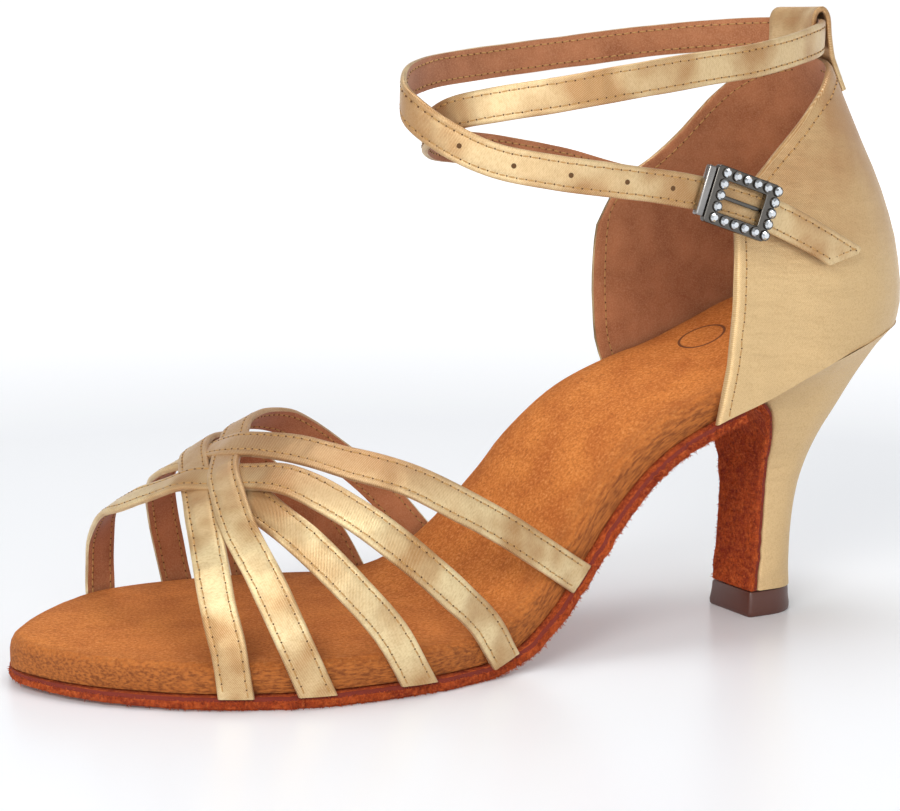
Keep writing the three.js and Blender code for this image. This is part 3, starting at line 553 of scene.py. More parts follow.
# the rows follow places that a scratch program found from points read off the photo
vampStraps = {
    "front": table(
        "along turn layer",
        (0.826, 0, 0), (0.831, 12, 0), (0.836, 26, 0), (0.835, 42, 0), (0.830, 58, -0.6),
        (0.820, 75, -1), (0.803, 91, 0), (0.782, 105, 1), (0.757, 116, 0.3), (0.712, 134, 0),
        (0.645, 156, 0), (0.595, 168, 0), (0.560, 180, 0)),
    "second": table(
        "along turn layer",
        (0.751, 0, 0), (0.772, 12, 0), (0.792, 32, 0), (0.802, 50, 0), (0.800, 63, 0.5),
        (0.792, 76, 1), (0.778, 86, 0), (0.759, 95, -1), (0.735, 106, 0), (0.703, 118, 0),
        (0.657, 131, 0), (0.605, 146, 0), (0.545, 162, 0), (0.490, 180, 0)),
    "middle": table(
        "along turn layer",
        (0.644, 0, 0), (0.673, 9, 0), (0.711, 21, 0), (0.750, 38, -0.8), (0.776, 56, -3),
        (0.786, 76, -3), (0.780, 98, -3), (0.754, 122, -1.5), (0.718, 145, 0), (0.692, 166, 0),
        (0.676, 180, 0)),
    "fourth": table(
        "along turn layer",
        (0.535, 0, 0), (0.561, 6, 0), (0.598, 13, 0), (0.650, 25, 0), (0.700, 40, 0),
        (0.748, 60, -0.4), (0.781, 73, -1), (0.801, 79, 0), (0.817, 85, 1), (0.838, 91, 0.3),
        (0.858, 102, 0), (0.866, 120, 0), (0.862, 141, 0), (0.856, 163, 0), (0.853, 180, 0)),
    "back": table(
        "along turn layer",
        (0.436, 0, 0), (0.484, 11, 0), (0.533, 21, 0), (0.582, 30, 0), (0.637, 42, 0),
        (0.691, 55, 0), (0.730, 70, 0.3), (0.762, 86, 1), (0.776, 95, 0), (0.789, 103, -1),
        (0.803, 113, -0.2), (0.800, 129, 0), (0.785, 150, 0), (0.770, 167, 0), (0.757, 180, 0)),
}
footPower = 2 / 2.3


def footSurface(x, turn):
    half = halfWidth(x) + 1.5 * gap + strap["ride"]
    angle = math.radians(clamp(turn, 0, 180))
    side = math.cos(angle)
    y = centreY(x) + half * math.copysign(abs(side) ** footPower, side)
    base = soleHeight(x, centreY(x) + half * (1 if turn < 90 else -1 if turn > 90 else 0)) + gap
    crown = shoe["instepHeight"] * crownAt(share(x))
    return Vector((x, y, base + (crown - base) * math.sin(angle) ** footPower))


def footNormal(x, turn):
    inside = clamp(turn, 1, 179)
    a = footSurface(x + 0.5, inside) - footSurface(x - 0.5, inside)
    b = footSurface(x, inside + 1) - footSurface(x, inside - 1)
    return b.cross(a).normalized()


def withAcross(place, ahead, normal):
    normal = (normal - ahead * normal.dot(ahead)).normalized()
    return {"place": place, "ahead": ahead, "normal": normal, "across": normal.cross(ahead)}


def vampStations(rows, perSegment=7):
    places = []
    for row in rows:
        x = atShare(row["along"])
        lift = row["layer"] * strap["weaveLift"]
        places.append(footSurface(x, row["turn"]) + footNormal(x, row["turn"]) * lift)
    last = len(rows) - 1
    reach = strap["footReach"]
    places.insert(0, places[0] + (places[0] - places[1]).normalized() * reach)
    places.append(places[-1] + (places[-1] - places[-2]).normalized() * reach)
    stations = []
    for k, (place, ahead) in enumerate(splined(places, perSegment)):
        row = clamp(k / perSegment - 1, 0, last)
        i = min(int(row), last - 1)
        x = atShare(mix(rows[i]["along"], rows[i + 1]["along"], row - i))
        turn = mix(rows[i]["turn"], rows[i + 1]["turn"], row - i)
        stations.append(withAcross(place, ahead, footNormal(x, turn)))
    return evened(stations)


def evened(stations, rounds=2):
    # lets neighbouring normals share their turn, so that the strap doesn't kink
    for _ in range(rounds):
        normals = [s["normal"] for s in stations]
        for i in range(1, len(stations) - 1):
            shared = normals[i - 1] + normals[i] * 2 + normals[i + 1]
            stations[i] = withAcross(stations[i]["place"], stations[i]["ahead"], shared)
    run = 0
    for a, b in zip(stations, stations[1:]):
        a["run"] = run
        run += (b["place"] - a["place"]).length
    stations[-1]["run"] = run
    return stations


def strapSection():
    # across, height and side of each corner of the strap's section, outer face first
    w, t, g = strap["width"] / 2, strap["thick"] / 2, strap["groove"]
    seam = w - stitching["inset"]
    crown = strap["crown"]
    outer = [
        (-w, 0.0), (-w + 0.08, t * 0.62), (-w + 0.35, t * 0.95), (-seam - 0.32, t), (-seam, t - g),
        (-seam + 0.34, t + crown * 0.3), (-w * 0.3, t + crown * 0.8), (0.0, t + crown),
        (w * 0.3, t + crown * 0.8), (seam - 0.34, t + crown * 0.3), (seam, t - g),
        (seam + 0.32, t), (w - 0.35, t * 0.95), (w - 0.08, t * 0.62), (w, 0.0),
    ]
    inner = [(w - 0.12, -t * 0.8), (seam, -t), (0.0, -t * 1.02), (-seam, -t), (-w + 0.12, -t * 0.8)]
    return [(a, h, 1.0) for a, h in outer] + [(a, h, 0.0) for a, h in inner]


section = strapSection()


def wander(run, seed, size):
    return noise.noise(Vector((run * 0.11, seed * 7.3, 0.5))) * size


def makeStrap(bm, stations, seed):
    rings, cloth = [], []
    for s in stations:
        narrow = 1 + wander(s["run"], seed, 0.035)
        roll = Quaternion(s["ahead"], math.radians(wander(s["run"], seed + 4, 7)))
        across, normal = roll @ s["across"], roll @ s["normal"]
        rings.append([inFrame(s["place"] + across * a * narrow + normal * h) for a, h, _ in section])
        cloth.append([(s["run"] * mm, a * mm, side) for a, h, side in section])
        s["across"], s["normal"] = across, normal
    sweep(bm, rings, cloth)


def strapStitches(stations, keep):
    made = []
    seam = strap["width"] / 2 - stitching["inset"]
    total = stations[-1]["run"]
    count = int(total / stitching["pitch"])
    for k in range(1, count):
        run = k * total / count
        i = max(j for j in range(len(stations) - 1) if stations[j]["run"] <= run)
        a, b = stations[i], stations[i + 1]
        t = (run - a["run"]) / max(b["run"] - a["run"], 1e-6)
        place = a["place"].lerp(b["place"], t)
        normal = a["normal"].lerp(b["normal"], t).normalized()
        ahead = (b["place"] - a["place"]).normalized()
        across = normal.cross(ahead)
        for side in (-1, 1):
            for face in (1, -1):
                lift = face * (strap["thick"] / 2 - (strap["groove"] * 0.7 if face > 0 else 0))
                at = place + across * seam * side + normal * lift
                if keep(at):
                    made.append(stitchAt(at, ahead, normal))
    return made


def aboveSole(p):
    return (p - overSole(p.x, p.y, 0.0)).dot(soleNormal(p.x)) > 0.5


vampStitches = []
for seed, (name, rows) in enumerate(vampStraps.items()):
    stations = vampStations(rows)
    bm = bmesh.new()
    makeStrap(bm, stations, seed)
    for end in (rows[0], rows[-1]):
        x = atShare(end["along"])
        foot = footSurface(x, end["turn"])
        cutFlat(bm, overSole(x, foot.y, -0.25), soleNormal(x), clear_inner=True)
    vampStitches += strapStitches(stations, aboveSole)
    finishPiece(f"vamp_strap_{name}", bm, [strapSatin, lining], "vamp_straps", 60, bySide)
sew("vamp", vampStitches)
print("vamp straps made")

# The ankle strap: one long strap, twice round the ankle
ankle = {"length": 107, "half": 28, "height": 66.8, "start": 18.2}
tip = {"slant": -46, "cutBack": 2.2, "clear": 1.6, "stitchIn": 1.4, "stitchStep": 2}
# on the outer side and the front, the rows follow places that a scratch program found
ankleRows = table(
    "along across rise",
    (0.312, -0.930, 0.452), (0.384, -0.980, 0.482), (0.511, -0.996, 0.534), (0.673, -0.914, 0.579),
    (0.800, -0.750, 0.602), (0.890, -0.500, 0.622), (0.950, -0.100, 0.668), (0.940, 0.270, 0.730),
    (0.874, 0.570, 0.766), (0.770, 0.790, 0.798), (0.653, 0.925, 0.834), (0.478, 0.975, 0.879),
    (0.324, 0.920, 0.912), (0.160, 0.690, 0.962), (0.070, 0.380, 0.990), (0.040, 0.000, 1.000),
    (0.070, -0.380, 1.000), (0.160, -0.690, 0.990), (0.300, -0.900, 0.968), (0.450, -0.985, 0.937),
    (0.600, -0.980, 0.908), (0.760, -0.850, 0.879), (0.890, -0.620, 0.852), (0.975, -0.300, 0.815),
    (1.008, 0.000, 0.755), (0.975, 0.300, 0.672), (0.895, 0.600, 0.592), (0.785, 0.830, 0.553),
    (0.660, 0.955, 0.526), (0.540, 1.000, 0.500), (0.420, 1.000, 0.463), (0.300, 1.000, 0.405),
    (0.180, 1.005, 0.318), (0.080, 0.985, 0.234),
)
anklePlaces = [
    Vector((ankle["start"] + row["along"] * ankle["length"], row["across"] * ankle["half"],
            shoe["seatHeight"] + row["rise"] * ankle["height"]))
    for row in ankleRows
]


def ankleStations():
    made = []
    for place, ahead in splined(anklePlaces, 8):
        across = (Vector((0, 0, 1)) - ahead * ahead.z).normalized()
        made.append(withAcross(place, ahead, ahead.cross(across) * -1))
    middle = Vector((ankle["start"] + ankle["length"] / 2, 0, 0))
    for s in made:
        out = (s["place"] - middle) * Vector((1, 1, 0))
        if s["normal"].dot(out) < 0:
            s["normal"], s["across"] = -s["normal"], -s["across"]
    return evened(made)


ankleLine = ankleStations()
bm = bmesh.new()
makeStrap(bm, ankleLine, 11)
tipEnd = ankleLine[-1]
tipCut = Quaternion(tipEnd["normal"], math.radians(tip["slant"])) @ tipEnd["ahead"]
tipPlace = tipEnd["place"] - tipEnd["ahead"] * tip["cutBack"]
cutFlat(bm, tipPlace, tipCut, clear_outer=True)
finishPiece("ankle_strap_cloth", bm, [strapSatin, lining], "ankle_strap", 60, bySide)

ankleStitches = strapStitches(ankleLine, lambda p: (p - tipPlace).dot(tipCut) < -tip["clear"])
tipAcross = tipCut.cross(tipEnd["normal"]).normalized()
for k in (-1, 0, 1):
    at = tipPlace - tipCut * tip["stitchIn"] + tipAcross * k * tip["stitchStep"]
    at += tipEnd["normal"] * strap["thick"] / 2
    ankleStitches.append(stitchAt(at, tipAcross, tipEnd["normal"]))
sew("ankle_strap", ankleStitches)
print("ankle strap made")

# Insole: a padded board wrapped in brushed cloth
insole = {"thick": 6.5, "edge": 3.0, "tuck": 0.8, "crown": 0.35}
# creases in the cloth round the edge: side (1 outer), place, width, depth
insoleCreases = table(
    "side along wide deep",
    (1, 0.395, 0.006, 0.30), (1, 0.430, 0.005, 0.38), (1, 0.462, 0.006, 0.30), (1, 0.505, 0.008, 0.34),
    (1, 0.545, 0.006, 0.26), (1, 0.590, 0.007, 0.22), (1, 0.930, 0.006, 0.16), (-1, 0.420, 0.007, 0.3),
    (-1, 0.500, 0.007, 0.3), (-1, 0.900, 0.008, 0.16), (1, 0.345, 0.008, 0.2),
)


def creased(side, along):
    depth = 0
    for row in insoleCreases:
        if row["side"] == side:
            depth += row["deep"] * math.exp(-((along - row["along"]) / row["wide"]) ** 2)
    return depth


def makeInsole():
    rings, cloth = [], []
    angles = [math.radians(a) for a in (0, 15, 30, 45, 60, 75, 90)]
    for x in sections(shoe["start"], toeX, 2.0, count=12):
        half, centre = halfWidth(x), centreY(x)
        soft = min(insole["edge"], half * 0.6)
        nearEnd = clamp(min(toeX - x, x - shoe["start"]) / insole["edge"])
        rise = soft * math.sqrt(1 - (1 - nearEnd) ** 2)
        shoulder = insole["thick"] - insole["edge"]
        tuck = min(insole["tuck"], half * 0.2)
        ring, marks = [], []
        for side in (1, -1):
            fold = creased(side, share(x))
            wall = [(half - tuck, gap * 0.8, 0)] + [
                (half - soft * (1 - math.cos(a)) - fold * (1 - abs(math.sin(2 * a) - 0.3)),
                 shoulder + rise * math.sin(a) - fold * 0.4 * math.sin(a), a) for a in angles]
            points = [(centre + side * y, z, y + a) for y, z, a in wall]
            top = [s * (half - soft) for s in (0.8, 0.5, 0.2)]
            crown = insole["crown"] * nearEnd
            flat = [(centre + side * y, shoulder + rise + crown * (1 - (y / max(half, 1)) ** 2), y)
                    for y in top]
            under = [(centre + side * y, gap * 0.8, y) for y in (top[2], top[0])]
            whole = under + points + flat
            part = [(overSole(x, y, z), (x * mm, side * w * mm, z)) for y, z, w in whole]
            part = part if side > 0 else part[::-1]
            ring += [inFrame(p) for p, _ in part]
            marks += [m for _, m in part]
        rings.append(ring)
        cloth.append(marks)
    bm = bmesh.new()
    sweep(bm, rings, cloth)
    return finishPiece("insole_padding", bm, [insoleCloth], "insole", 75)


makeInsole()
print("insole made")

# Outsole: suede, raw at its edge, that turns down the front of the heel
outsole = {"thick": 2.8, "toeThick": 2.1, "lip": 1.3, "flap": 1.8, "bend": 8, "ragged": 0.5}
heel = {
    "axis": 26, "front": 13.4, "back": 2.2, "tipHalf": 7.8, "turn": 4, "cap": 6, "flare": 0.5,
    "wall": 2.2,
}
# the heel's two tables follow places that a scratch program found from the photo's outline
heelRows = table(
    "level back spread",
    (0.00, 0.000, 0.000), (0.10, -0.018, -0.003), (0.20, -0.015, -0.004), (0.30, 0.005, 0.000),
    (0.40, 0.050, 0.015), (0.50, 0.130, 0.070), (0.60, 0.260, 0.165), (0.70, 0.455, 0.285),
    (0.80, 0.645, 0.420), (0.90, 0.830, 0.650), (0.96, 0.935, 0.840), (1.00, 1.000, 1.000),
)
breastRows = table(
    "level hollow flare",
    (0.00, 0.00, 0.00), (0.20, 0.09, -0.01), (0.42, 0.15, 0.00), (0.56, 0.14, 0.04),
    (0.68, 0.08, 0.17), (0.80, 0.03, 0.27), (0.88, 0.00, 0.34), (0.95, 0.00, 0.60),
    (1.00, 0.00, 0.90),
)
breastX = heel["axis"] + heel["front"] - outsole["flap"] - gap


def seatUnder(x):
    return soleHeight(x, centreY(x) + halfWidth(x)) - gap


seatAngle = math.atan((seatUnder(breastX + outsole["bend"]) - seatUnder(breastX)) / outsole["bend"])
bendRun = outsole["bend"] * math.tan((math.pi / 2 - seatAngle) / 2)
bendStartX = breastX + bendRun * math.cos(seatAngle)
bendX, bendZ = breastX + outsole["bend"], seatUnder(breastX) - bendRun
capTop = heel["cap"] + gap
breastHeight = seatUnder(breastX) - capTop
hollowAt = curve(breastRows, "level", "hollow")
flareAt = curve(breastRows, "level", "flare")
seatHalf = shoe["seatWidth"] / 2 + gap + heel["wall"]


def breastFront(z):
    reach = outsole["bend"] + 1.4 * gap
    if z > bendZ:
        up = min((z - bendZ) / reach, 0.93)
        return bendX - reach * math.sqrt(1 - up * up)
    return breastX - gap - hollowAt((z - capTop) / breastHeight) * heel["tipHalf"]


def breastHalf(z):
    return mix(heel["tipHalf"], seatHalf, flareAt((z - capTop) / breastHeight))


def turnHeel(p):
    rise = clamp((p[2] - capTop) / breastHeight)
    angle = math.radians(heel["turn"]) * (1 - rise ** 3)
    x = p[0] - heel["axis"]
    return Vector((heel["axis"] + x * math.cos(angle) - p[1] * math.sin(angle),
                   x * math.sin(angle) + p[1] * math.cos(angle), p[2]))


def ragged(x, side):
    rough = noise.noise(Vector((x * 0.4, side * 3.1, 1.7))) + noise.noise(Vector((x * 1.3, side * 2, 5)))
    return outsole["ragged"] * rough


edgeShare = 0.97  # past this share of the half width lies the raw edge
bendRings, flapRings = 12, 20
across = [-1, -0.985, -0.94, -0.75, -0.5, -0.25, 0, 0.25, 0.5, 0.75, 0.94, 0.985, 1]
edgeSpots = []  # places and outward directions along the raw edge, for the fibres


def soleRing(tops, n, thick):
    upper, lower = [], []
    for s, top in zip(across, tops):
        rim = abs(s) == 1
        upper.append(top + n * (0.8 if rim else 0))
        lower.append(top + n * thick * (0.78 if rim else 1))
    return upper + lower[::-1]


def makeOutsole():
    rings, cloth = [], []
    marks = [(s, 0, 1) for s in across] + [(s, 0, 0) for s in reversed(across)]

    def addRing(tops, n, thick):
        rings.append(soleRing(tops, n, thick))
        for side, outward in ((0, -1), (-1, 1)):
            edgeSpots.append((tops[side], Vector((0.0, outward, 0.0)), n, thick))

    places = [x for x in sections(shoe["start"], toeX, 0.7, count=26) if x > bendStartX + 2]
    for x in reversed(places):
        n = soleNormal(x)
        toe = toeAt(share(x))
        half = halfWidth(x) + outsole["lip"] * math.sqrt(1 - toe ** 4)
        tops = []
        for s in across:
            y = centreY(x) + s * half + (ragged(x, s) if abs(s) > edgeShare else 0)
            tops.append(Vector((x, y, soleHeight(x, y) - gap / 2 / n.z)))
        addRing(tops, -n, mix(outsole["thick"], outsole["toeThick"], toe))
    for i in range(bendRings + flapRings + 1):
        if i <= bendRings:
            angle = math.pi / 2 + seatAngle + i / bendRings * (math.pi / 2 - seatAngle)
            arm = Vector((math.cos(angle), 0, math.sin(angle)))
            top = Vector((bendX, 0, bendZ)) + arm * outsole["bend"]
            n, thick = -arm, mix(outsole["thick"], outsole["flap"], i / bendRings)
        else:
            z = mix(bendZ, capTop, (i - bendRings) / flapRings)
            top = Vector((breastFront(z) + gap, 0, z))
            n, thick = Vector((1, 0, 0)), outsole["flap"]
        half = breastHalf(top.z)
        tops = [turnHeel((top.x, s * half + (ragged(top.z, s) if abs(s) > edgeShare else 0), top.z))
                for s in across]
        addRing(tops, n, thick)
    rings = [[inFrame(p) for p in ring] for ring in rings]
    bm = bmesh.new()
    sweep(bm, rings, [marks] * len(rings))

    def edge(f, layer):
        return 1 if all(abs(v[layer].x) > edgeShare and v[layer].z > 0.5 for v in f.verts) else 0

    return finishPiece("outsole_suede", bm, [suede, suedeEdge], "outsole", 60, edge)


makeOutsole()

# The fluff of the cut edge
fluff = {"edge": 11000, "flap": 7000, "short": 0.25, "long": 0.95, "thick": 0.11}
fibreShape = template(lambda bm: bmesh.ops.create_cone(
    bm, cap_ends=True, segments=3, radius1=1, radius2=0.15, depth=1,
    matrix=Matrix.Translation((0, 0, 0.5))))


def fibreAt(place, aim):
    length = random.uniform(fluff["short"], fluff["long"]) * random.uniform(0.4, 1)
    turn = aim.to_track_quat("Z", "Y").to_matrix().to_4x4()
    shape = Matrix.Diagonal((fluff["thick"] * mm, fluff["thick"] * mm, length * mm, 1))
    clear = place.z + aim.normalized().z * length > 0.05
    return [Matrix.Translation(inFrame(place)) @ turn @ shape] if clear else []


def anyWay(size):
    return Vector([random.uniform(-size, size) for _ in range(3)])


fibres = []
for k in range(fluff["edge"]):
    i = random.randrange(0, len(edgeSpots) - 2)
    place, outward, down, thick = edgeSpots[i]
    place = place.lerp(edgeSpots[i + 2][0], random.random())
    place = place + down * random.uniform(0.2, 1) * thick - outward * 0.1
    fibres += fibreAt(place, outward + anyWay(0.8) + down * 0.5)
scattered("outsole_edge_fluff", fibreShape, fibres, suede)

fibres = []
for k in range(fluff["flap"]):
    z = random.uniform(capTop, bendZ + 5)
    half = breastHalf(z) * random.uniform(-0.98, 0.98)
    place = turnHeel((breastFront(z) + gap + outsole["flap"] - 0.08, half, z))
    fibres += fibreAt(place, Vector((0.7, 0, -0.5)) + anyWay(0.8))
scattered("outsole_flap_fluff", fibreShape, fibres, suede)
print("outsole made")

# Heel: a hard core covered in satin, on a plastic tip
backAt = curve(heelRows, "level", "back")
spreadAt = curve(heelRows, "level", "spread")


heelLevels, backSteps = 40, 24


def heelRing(back, frontAt, half, frontHalf, heightAt):
    middle = mix(back, frontAt(0), 0.6)
    plan = []
    for i in range(backSteps + 1):
        angle = -math.pi / 2 + i / backSteps * math.pi
        plan.append((middle - (middle - back) * math.cos(angle), half * math.sin(angle)))
    bevel = 0.12 * frontHalf
    front = frontAt(frontHalf)
    other = frontAt(-frontHalf)
    plan += [(front - bevel, frontHalf), (front - bevel * 0.3, frontHalf - bevel * 0.3),
             (front, frontHalf - bevel), (frontAt(0), 0), (other, bevel - frontHalf),
             (other - bevel * 0.3, bevel * 0.3 - frontHalf), (other - bevel, -frontHalf)]
    return [turnHeel((x, y, heightAt(x, y))) for x, y in plan]


def makeHeel():
    rings = []
    for i in range(heelLevels + 1):
        level = 1 - (1 - i / heelLevels) ** 1.25
        back = mix(heel["axis"] - heel["back"], shoe["start"] - gap - heel["wall"], backAt(level))
        half = mix(heel["tipHalf"], seatHalf, spreadAt(level))

        def heightAt(x, y, level=level):
            return mix(capTop, soleHeight(x, y) - 0.06, level)

        def frontAt(y, heightAt=heightAt):
            front = breastX
            for _ in range(10):
                front = breastFront(heightAt(front, y))
            return front

        frontHalf = min(breastHalf(heightAt(frontAt(0), 0)), half)
        rings.append([inFrame(p) for p in heelRing(back, frontAt, half, frontHalf, heightAt)])
    bm = bmesh.new()
    sweep(bm, rings, [[(0, 0, 1)] * len(rings[0])] * len(rings))
    return finishPiece("heel_cover", bm, [plainSatin], "heel", 55)


makeHeel()


def makeHeelCap():
    def ring(z, grow):
        return [inFrame(p) for p in heelRing(
            heel["axis"] - heel["back"] - grow, lambda y: heel["axis"] + heel["front"] + grow,
            heel["tipHalf"] + grow, heel["tipHalf"] + grow, lambda x, y: z)]

    flare = heel["flare"]
    rings = [ring(0, flare * 0.3), ring(0.25, flare * 0.8), ring(1.2, flare), ring(3.6, flare * 0.35),
             ring(5.6, 0.05), ring(heel["cap"], -0.15)]
    bm = bmesh.new()
    sweep(bm, rings, [[(0, 0, 1)] * len(rings[0])] * len(rings))
    return finishPiece("heel_tip", bm, [capPlastic], "heel_cap", 45)


makeHeelCap()
print("heel made")

# Counter: satin outside, lined inside, its edge folded and stitched
counter = {"height": 61.5, "wall": 2.0, "edge": 1.0, "stitchIn": 2.4, "wing": 55}
# the lean follows places that a scratch program found from the photo's outline
leanRows = table(
    "rise lean narrow",
    (0.00, 0.000, 1.00), (0.09, -0.013, 1.01), (0.27, 0.013, 1.00), (0.51, 0.095, 0.93),
    (0.70, 0.194, 0.86), (0.95, 0.318, 0.76), (1.00, 0.340, 0.74),
)
topLine = table(
    "along outer inner",
    (0.000, 1.000, 1.000), (0.040, 0.950, 0.960), (0.085, 0.870, 0.890), (0.130, 0.775, 0.800),
    (0.180, 0.660, 0.690), (0.225, 0.545, 0.600), (0.260, 0.480, 0.540), (0.305, 0.440, 0.420),
)
wingFront = table(
    "level outer inner",
    (0.00, 0.268, 0.281), (0.30, 0.255, 0.299), (0.60, 0.252, 0.302), (0.85, 0.250, 0.300),
    (1.00, 0.244, 0.275),
)
leanAt, narrowAt = curve(leanRows, "rise", "lean"), curve(leanRows, "rise", "narrow")
topAt = {1: curve(topLine, "along", "outer"), -1: curve(topLine, "along", "inner")}
frontAtLevel = {1: curve(wingFront, "level", "outer"), -1: curve(wingFront, "level", "inner")}


def counterPoint(x, side, z, offset):
    rise = (z - shoe["seatHeight"]) / counter["height"]
    inner = halfWidth(x) + 1.5 * gap
    front = atShare(0.3)
    behind = clamp((front - x) / (front - shoe["start"]))
    move = leanAt(rise) * counter["height"] * behind
    round = clamp((x - shoe["start"]) / (shoe["seatWidth"] / 2))
    outX = -(gap + offset) * (1 - round)
    outY = offset * math.sqrt(1 - (1 - round) ** 2)
    y = centreY(x) + side * ((inner if round > 0 else 0) + outY) * narrowAt(rise)
    return Vector((x + outX + move, y, z))


def counterAt(side, s, level, offset):
    # a point on the wall: s from the back (0) to the wing's front (1), level from foot to top
    along = s * frontAtLevel[side](level)
    x = atShare(along)
    y = centreY(x) + side * halfWidth(x)
    foot = soleHeight(x, y) + 0.03
    top = shoe["seatHeight"] + counter["height"] * topAt[side](along)
    return counterPoint(x, side, mix(foot, top, level), offset)


def makeCounter():
    steps = [0.006, 0.02, 0.045, 0.08, 0.12, 0.165, 0.21, 0.26, 0.31, 0.36, 0.41, 0.46, 0.51, 0.56,
             0.61, 0.66, 0.71, 0.76, 0.81, 0.86, 0.91, 0.95, 0.975, 0.99, 1.0]
    columns = [(1, s) for s in reversed(steps)] + [(1, 0.0)] + [(-1, s) for s in steps]
    levels = [0, 0.03, 0.08, 0.16, 0.25, 0.34, 0.43, 0.52, 0.61, 0.7, 0.79, 0.87, 0.93, 0.965, 0.985]
    rings, cloth = [], []
    for side, s in columns:
        tall = (counterAt(side, s, 1, 0) - counterAt(side, s, 0, 0)).length
        toEnd = (1 - s) * counter["wing"]
        around = s * side * counter["wing"] * mm
        body = math.sqrt(1 - (1 - clamp(toEnd / counter["edge"], 0.12, 1)) ** 2)
        wall = counter["wall"]
        mid, half = wall / 2 + 0.1, wall / 2 * body
        ring, marks = [], []
        for level in levels:
            foot = 1 if level > 0 else 0.75
            ring.append(counterAt(side, s, level, mid + half * foot))
            marks.append((around, level * tall * mm, 1))
        for level, reach in ((0.996, 0.75), (1.0, 0.0), (0.996, -0.75)):
            ring.append(counterAt(side, s, level, mid + half * reach))
            marks.append((around, level * tall * mm, 1 if reach >= 0 else 0.4))
        for level in reversed(levels):
            ring.append(counterAt(side, s, level, mid - half))
            marks.append((around, level * tall * mm, 0))
        rings.append([inFrame(p) for p in ring])
        cloth.append(marks)
    bm = bmesh.new()
    sweep(bm, rings, cloth)
    return finishPiece("counter_cloth", bm, [plainSatin, lining], "heel_counter", 60, bySide)


makeCounter()


def seamOn(path):
    # stitches at even steps along a path of places and normals
    made = []
    left = 0.0
    for (a, na), (b, nb) in zip(path, path[1:]):
        length = (b - a).length
        while left < length:
            t = left / length
            made.append(stitchAt(a.lerp(b, t), (b - a).normalized(), na.lerp(nb, t).normalized(),
                                 stitching["seamWobble"]))
            left += stitching["pitch"]
        left -= length
    return made


def counterSeam(side, inside):
    # up the wing's front and back along its top, a little inside the edge
    path = []
    inset = counter["stitchIn"]

    def spot(s, level):
        a = counterAt(side, s, level, 0.1 if inside else counter["wall"] + 0.1)
        du = counterAt(side, max(s - 0.02, 0.001), level, 0) - counterAt(side, s, level, 0)
        dv = counterAt(side, s, min(level + 0.02, 1), 0) - counterAt(side, s, max(level - 0.02, 0), 0)
        normal = du.cross(dv).normalized()
        out = Vector((0, side, 0)) if s > 0.3 else Vector((-1, side * 0.4, 0))
        normal = normal if (normal.dot(out) > 0) != inside else -normal
        return a, normal

    front = 1 - inset / counter["wing"]
    upSteps, topSteps = 24, 50
    for i in range(upSteps + 1):
        path.append(spot(front, 0.03 + i / upSteps * 0.89))
    for i in range(1, topSteps):
        s = front * (1 - i / topSteps)
        tall = (counterAt(side, s, 1, 0) - counterAt(side, s, 0, 0)).length
        path.append(spot(s, 1 - inset * 1.25 / tall))
    return path


sew("counter", [m for side in (1, -1) for inside in (False, True)
                for m in seamOn(counterSeam(side, inside))])
print("counter made")

# Back loop: a satin tab from the back of the counter, over the ankle strap and down inside
loop = {"width": 18, "thick": 1.3, "foot": 8, "flap": 8}
ankleBack = 15  # the row of the ankle strap at the very back


def counterBack(y, z):
    low, high = shoe["start"], shoe["start"] + shoe["seatWidth"] / 2
    for _ in range(24):
        middle = (low + high) / 2
        if counterPoint(middle, 1, z, heel["wall"]).y < abs(y):
            low = middle
        else:
            high = middle
    return counterPoint(low, 1, z, heel["wall"]).x


def ankleCurl(y):
    beside = anklePlaces[ankleBack + 1]
    return (beside.x - anklePlaces[ankleBack].x) * (y / beside.y) ** 2


def makeBackLoop():
    topZ = shoe["seatHeight"] + counter["height"]
    back = counterBack(0, topZ) - 1.5 * gap
    band = anklePlaces[ankleBack]
    inside = band.x + strap["ride"] + 1.5 * gap
    over = band.z + strap["width"] / 2 + 4 * gap
    path = [
        (counterBack(0, topZ - drop) - 1.5 * gap, topZ - drop, 0, drop)
        for drop in (loop["foot"], loop["foot"] * 0.75, loop["foot"] / 2, 2, 0.5)
    ] + [
        (mix(back, band.x, 0.35), mix(topZ, over, 0.5), 0.3, 0),
        (mix(back, band.x, 0.5), over - 1.6, 0.6, 0), (mix(back, band.x, 0.7), over - 0.5, 0.8, 0),
        (band.x - 0.2, over, 1, 0), (inside - 0.4, over - 0.5, 1, 0), (inside, over - 1.6, 1, 0),
        (inside, over - loop["flap"] / 2, 1, 0), (inside, over - loop["flap"], 1, 0),
    ]
    line = splined([Vector((x, 0, z)) for x, z, _, _ in path], 3)
    columns = [-1, -0.97, -0.85, -0.6, -0.3, 0, 0.3, 0.6, 0.85, 0.97, 1]
    rings, cloth = [], []
    for k, (place, ahead) in enumerate(line):
        row = min(k / 3, len(path) - 1.001)
        i = int(row)
        front = mix(path[i][2], path[i + 1][2], row - i)
        drop = mix(path[i][3], path[i + 1][3], row - i)
        n = Vector((-ahead.z, 0, ahead.x))
        ring, marks = [], []
        for offset, order in ((1, columns), (0, list(reversed(columns)))):
            for s in order:
                y = s * loop["width"] / 2
                behind = counterBack(y, topZ - drop) - counterBack(0, topZ - drop)
                curl = mix(behind, ankleCurl(y), front)
                lift = loop["thick"] * (0.5 + (offset - 0.5) * (0.5 if abs(s) == 1 else 1))
                ring.append(inFrame(place + n * lift + Vector((curl, y, 0))))
                marks.append((k * 1.5 * mm, y * mm, 1))
        rings.append(ring)
        cloth.append(marks)
    bm = bmesh.new()
    sweep(bm, rings, cloth)
    finishPiece("back_loop_tab", bm, [strapSatin], "back_loop", 60)


makeBackLoop()
print("back loop made")

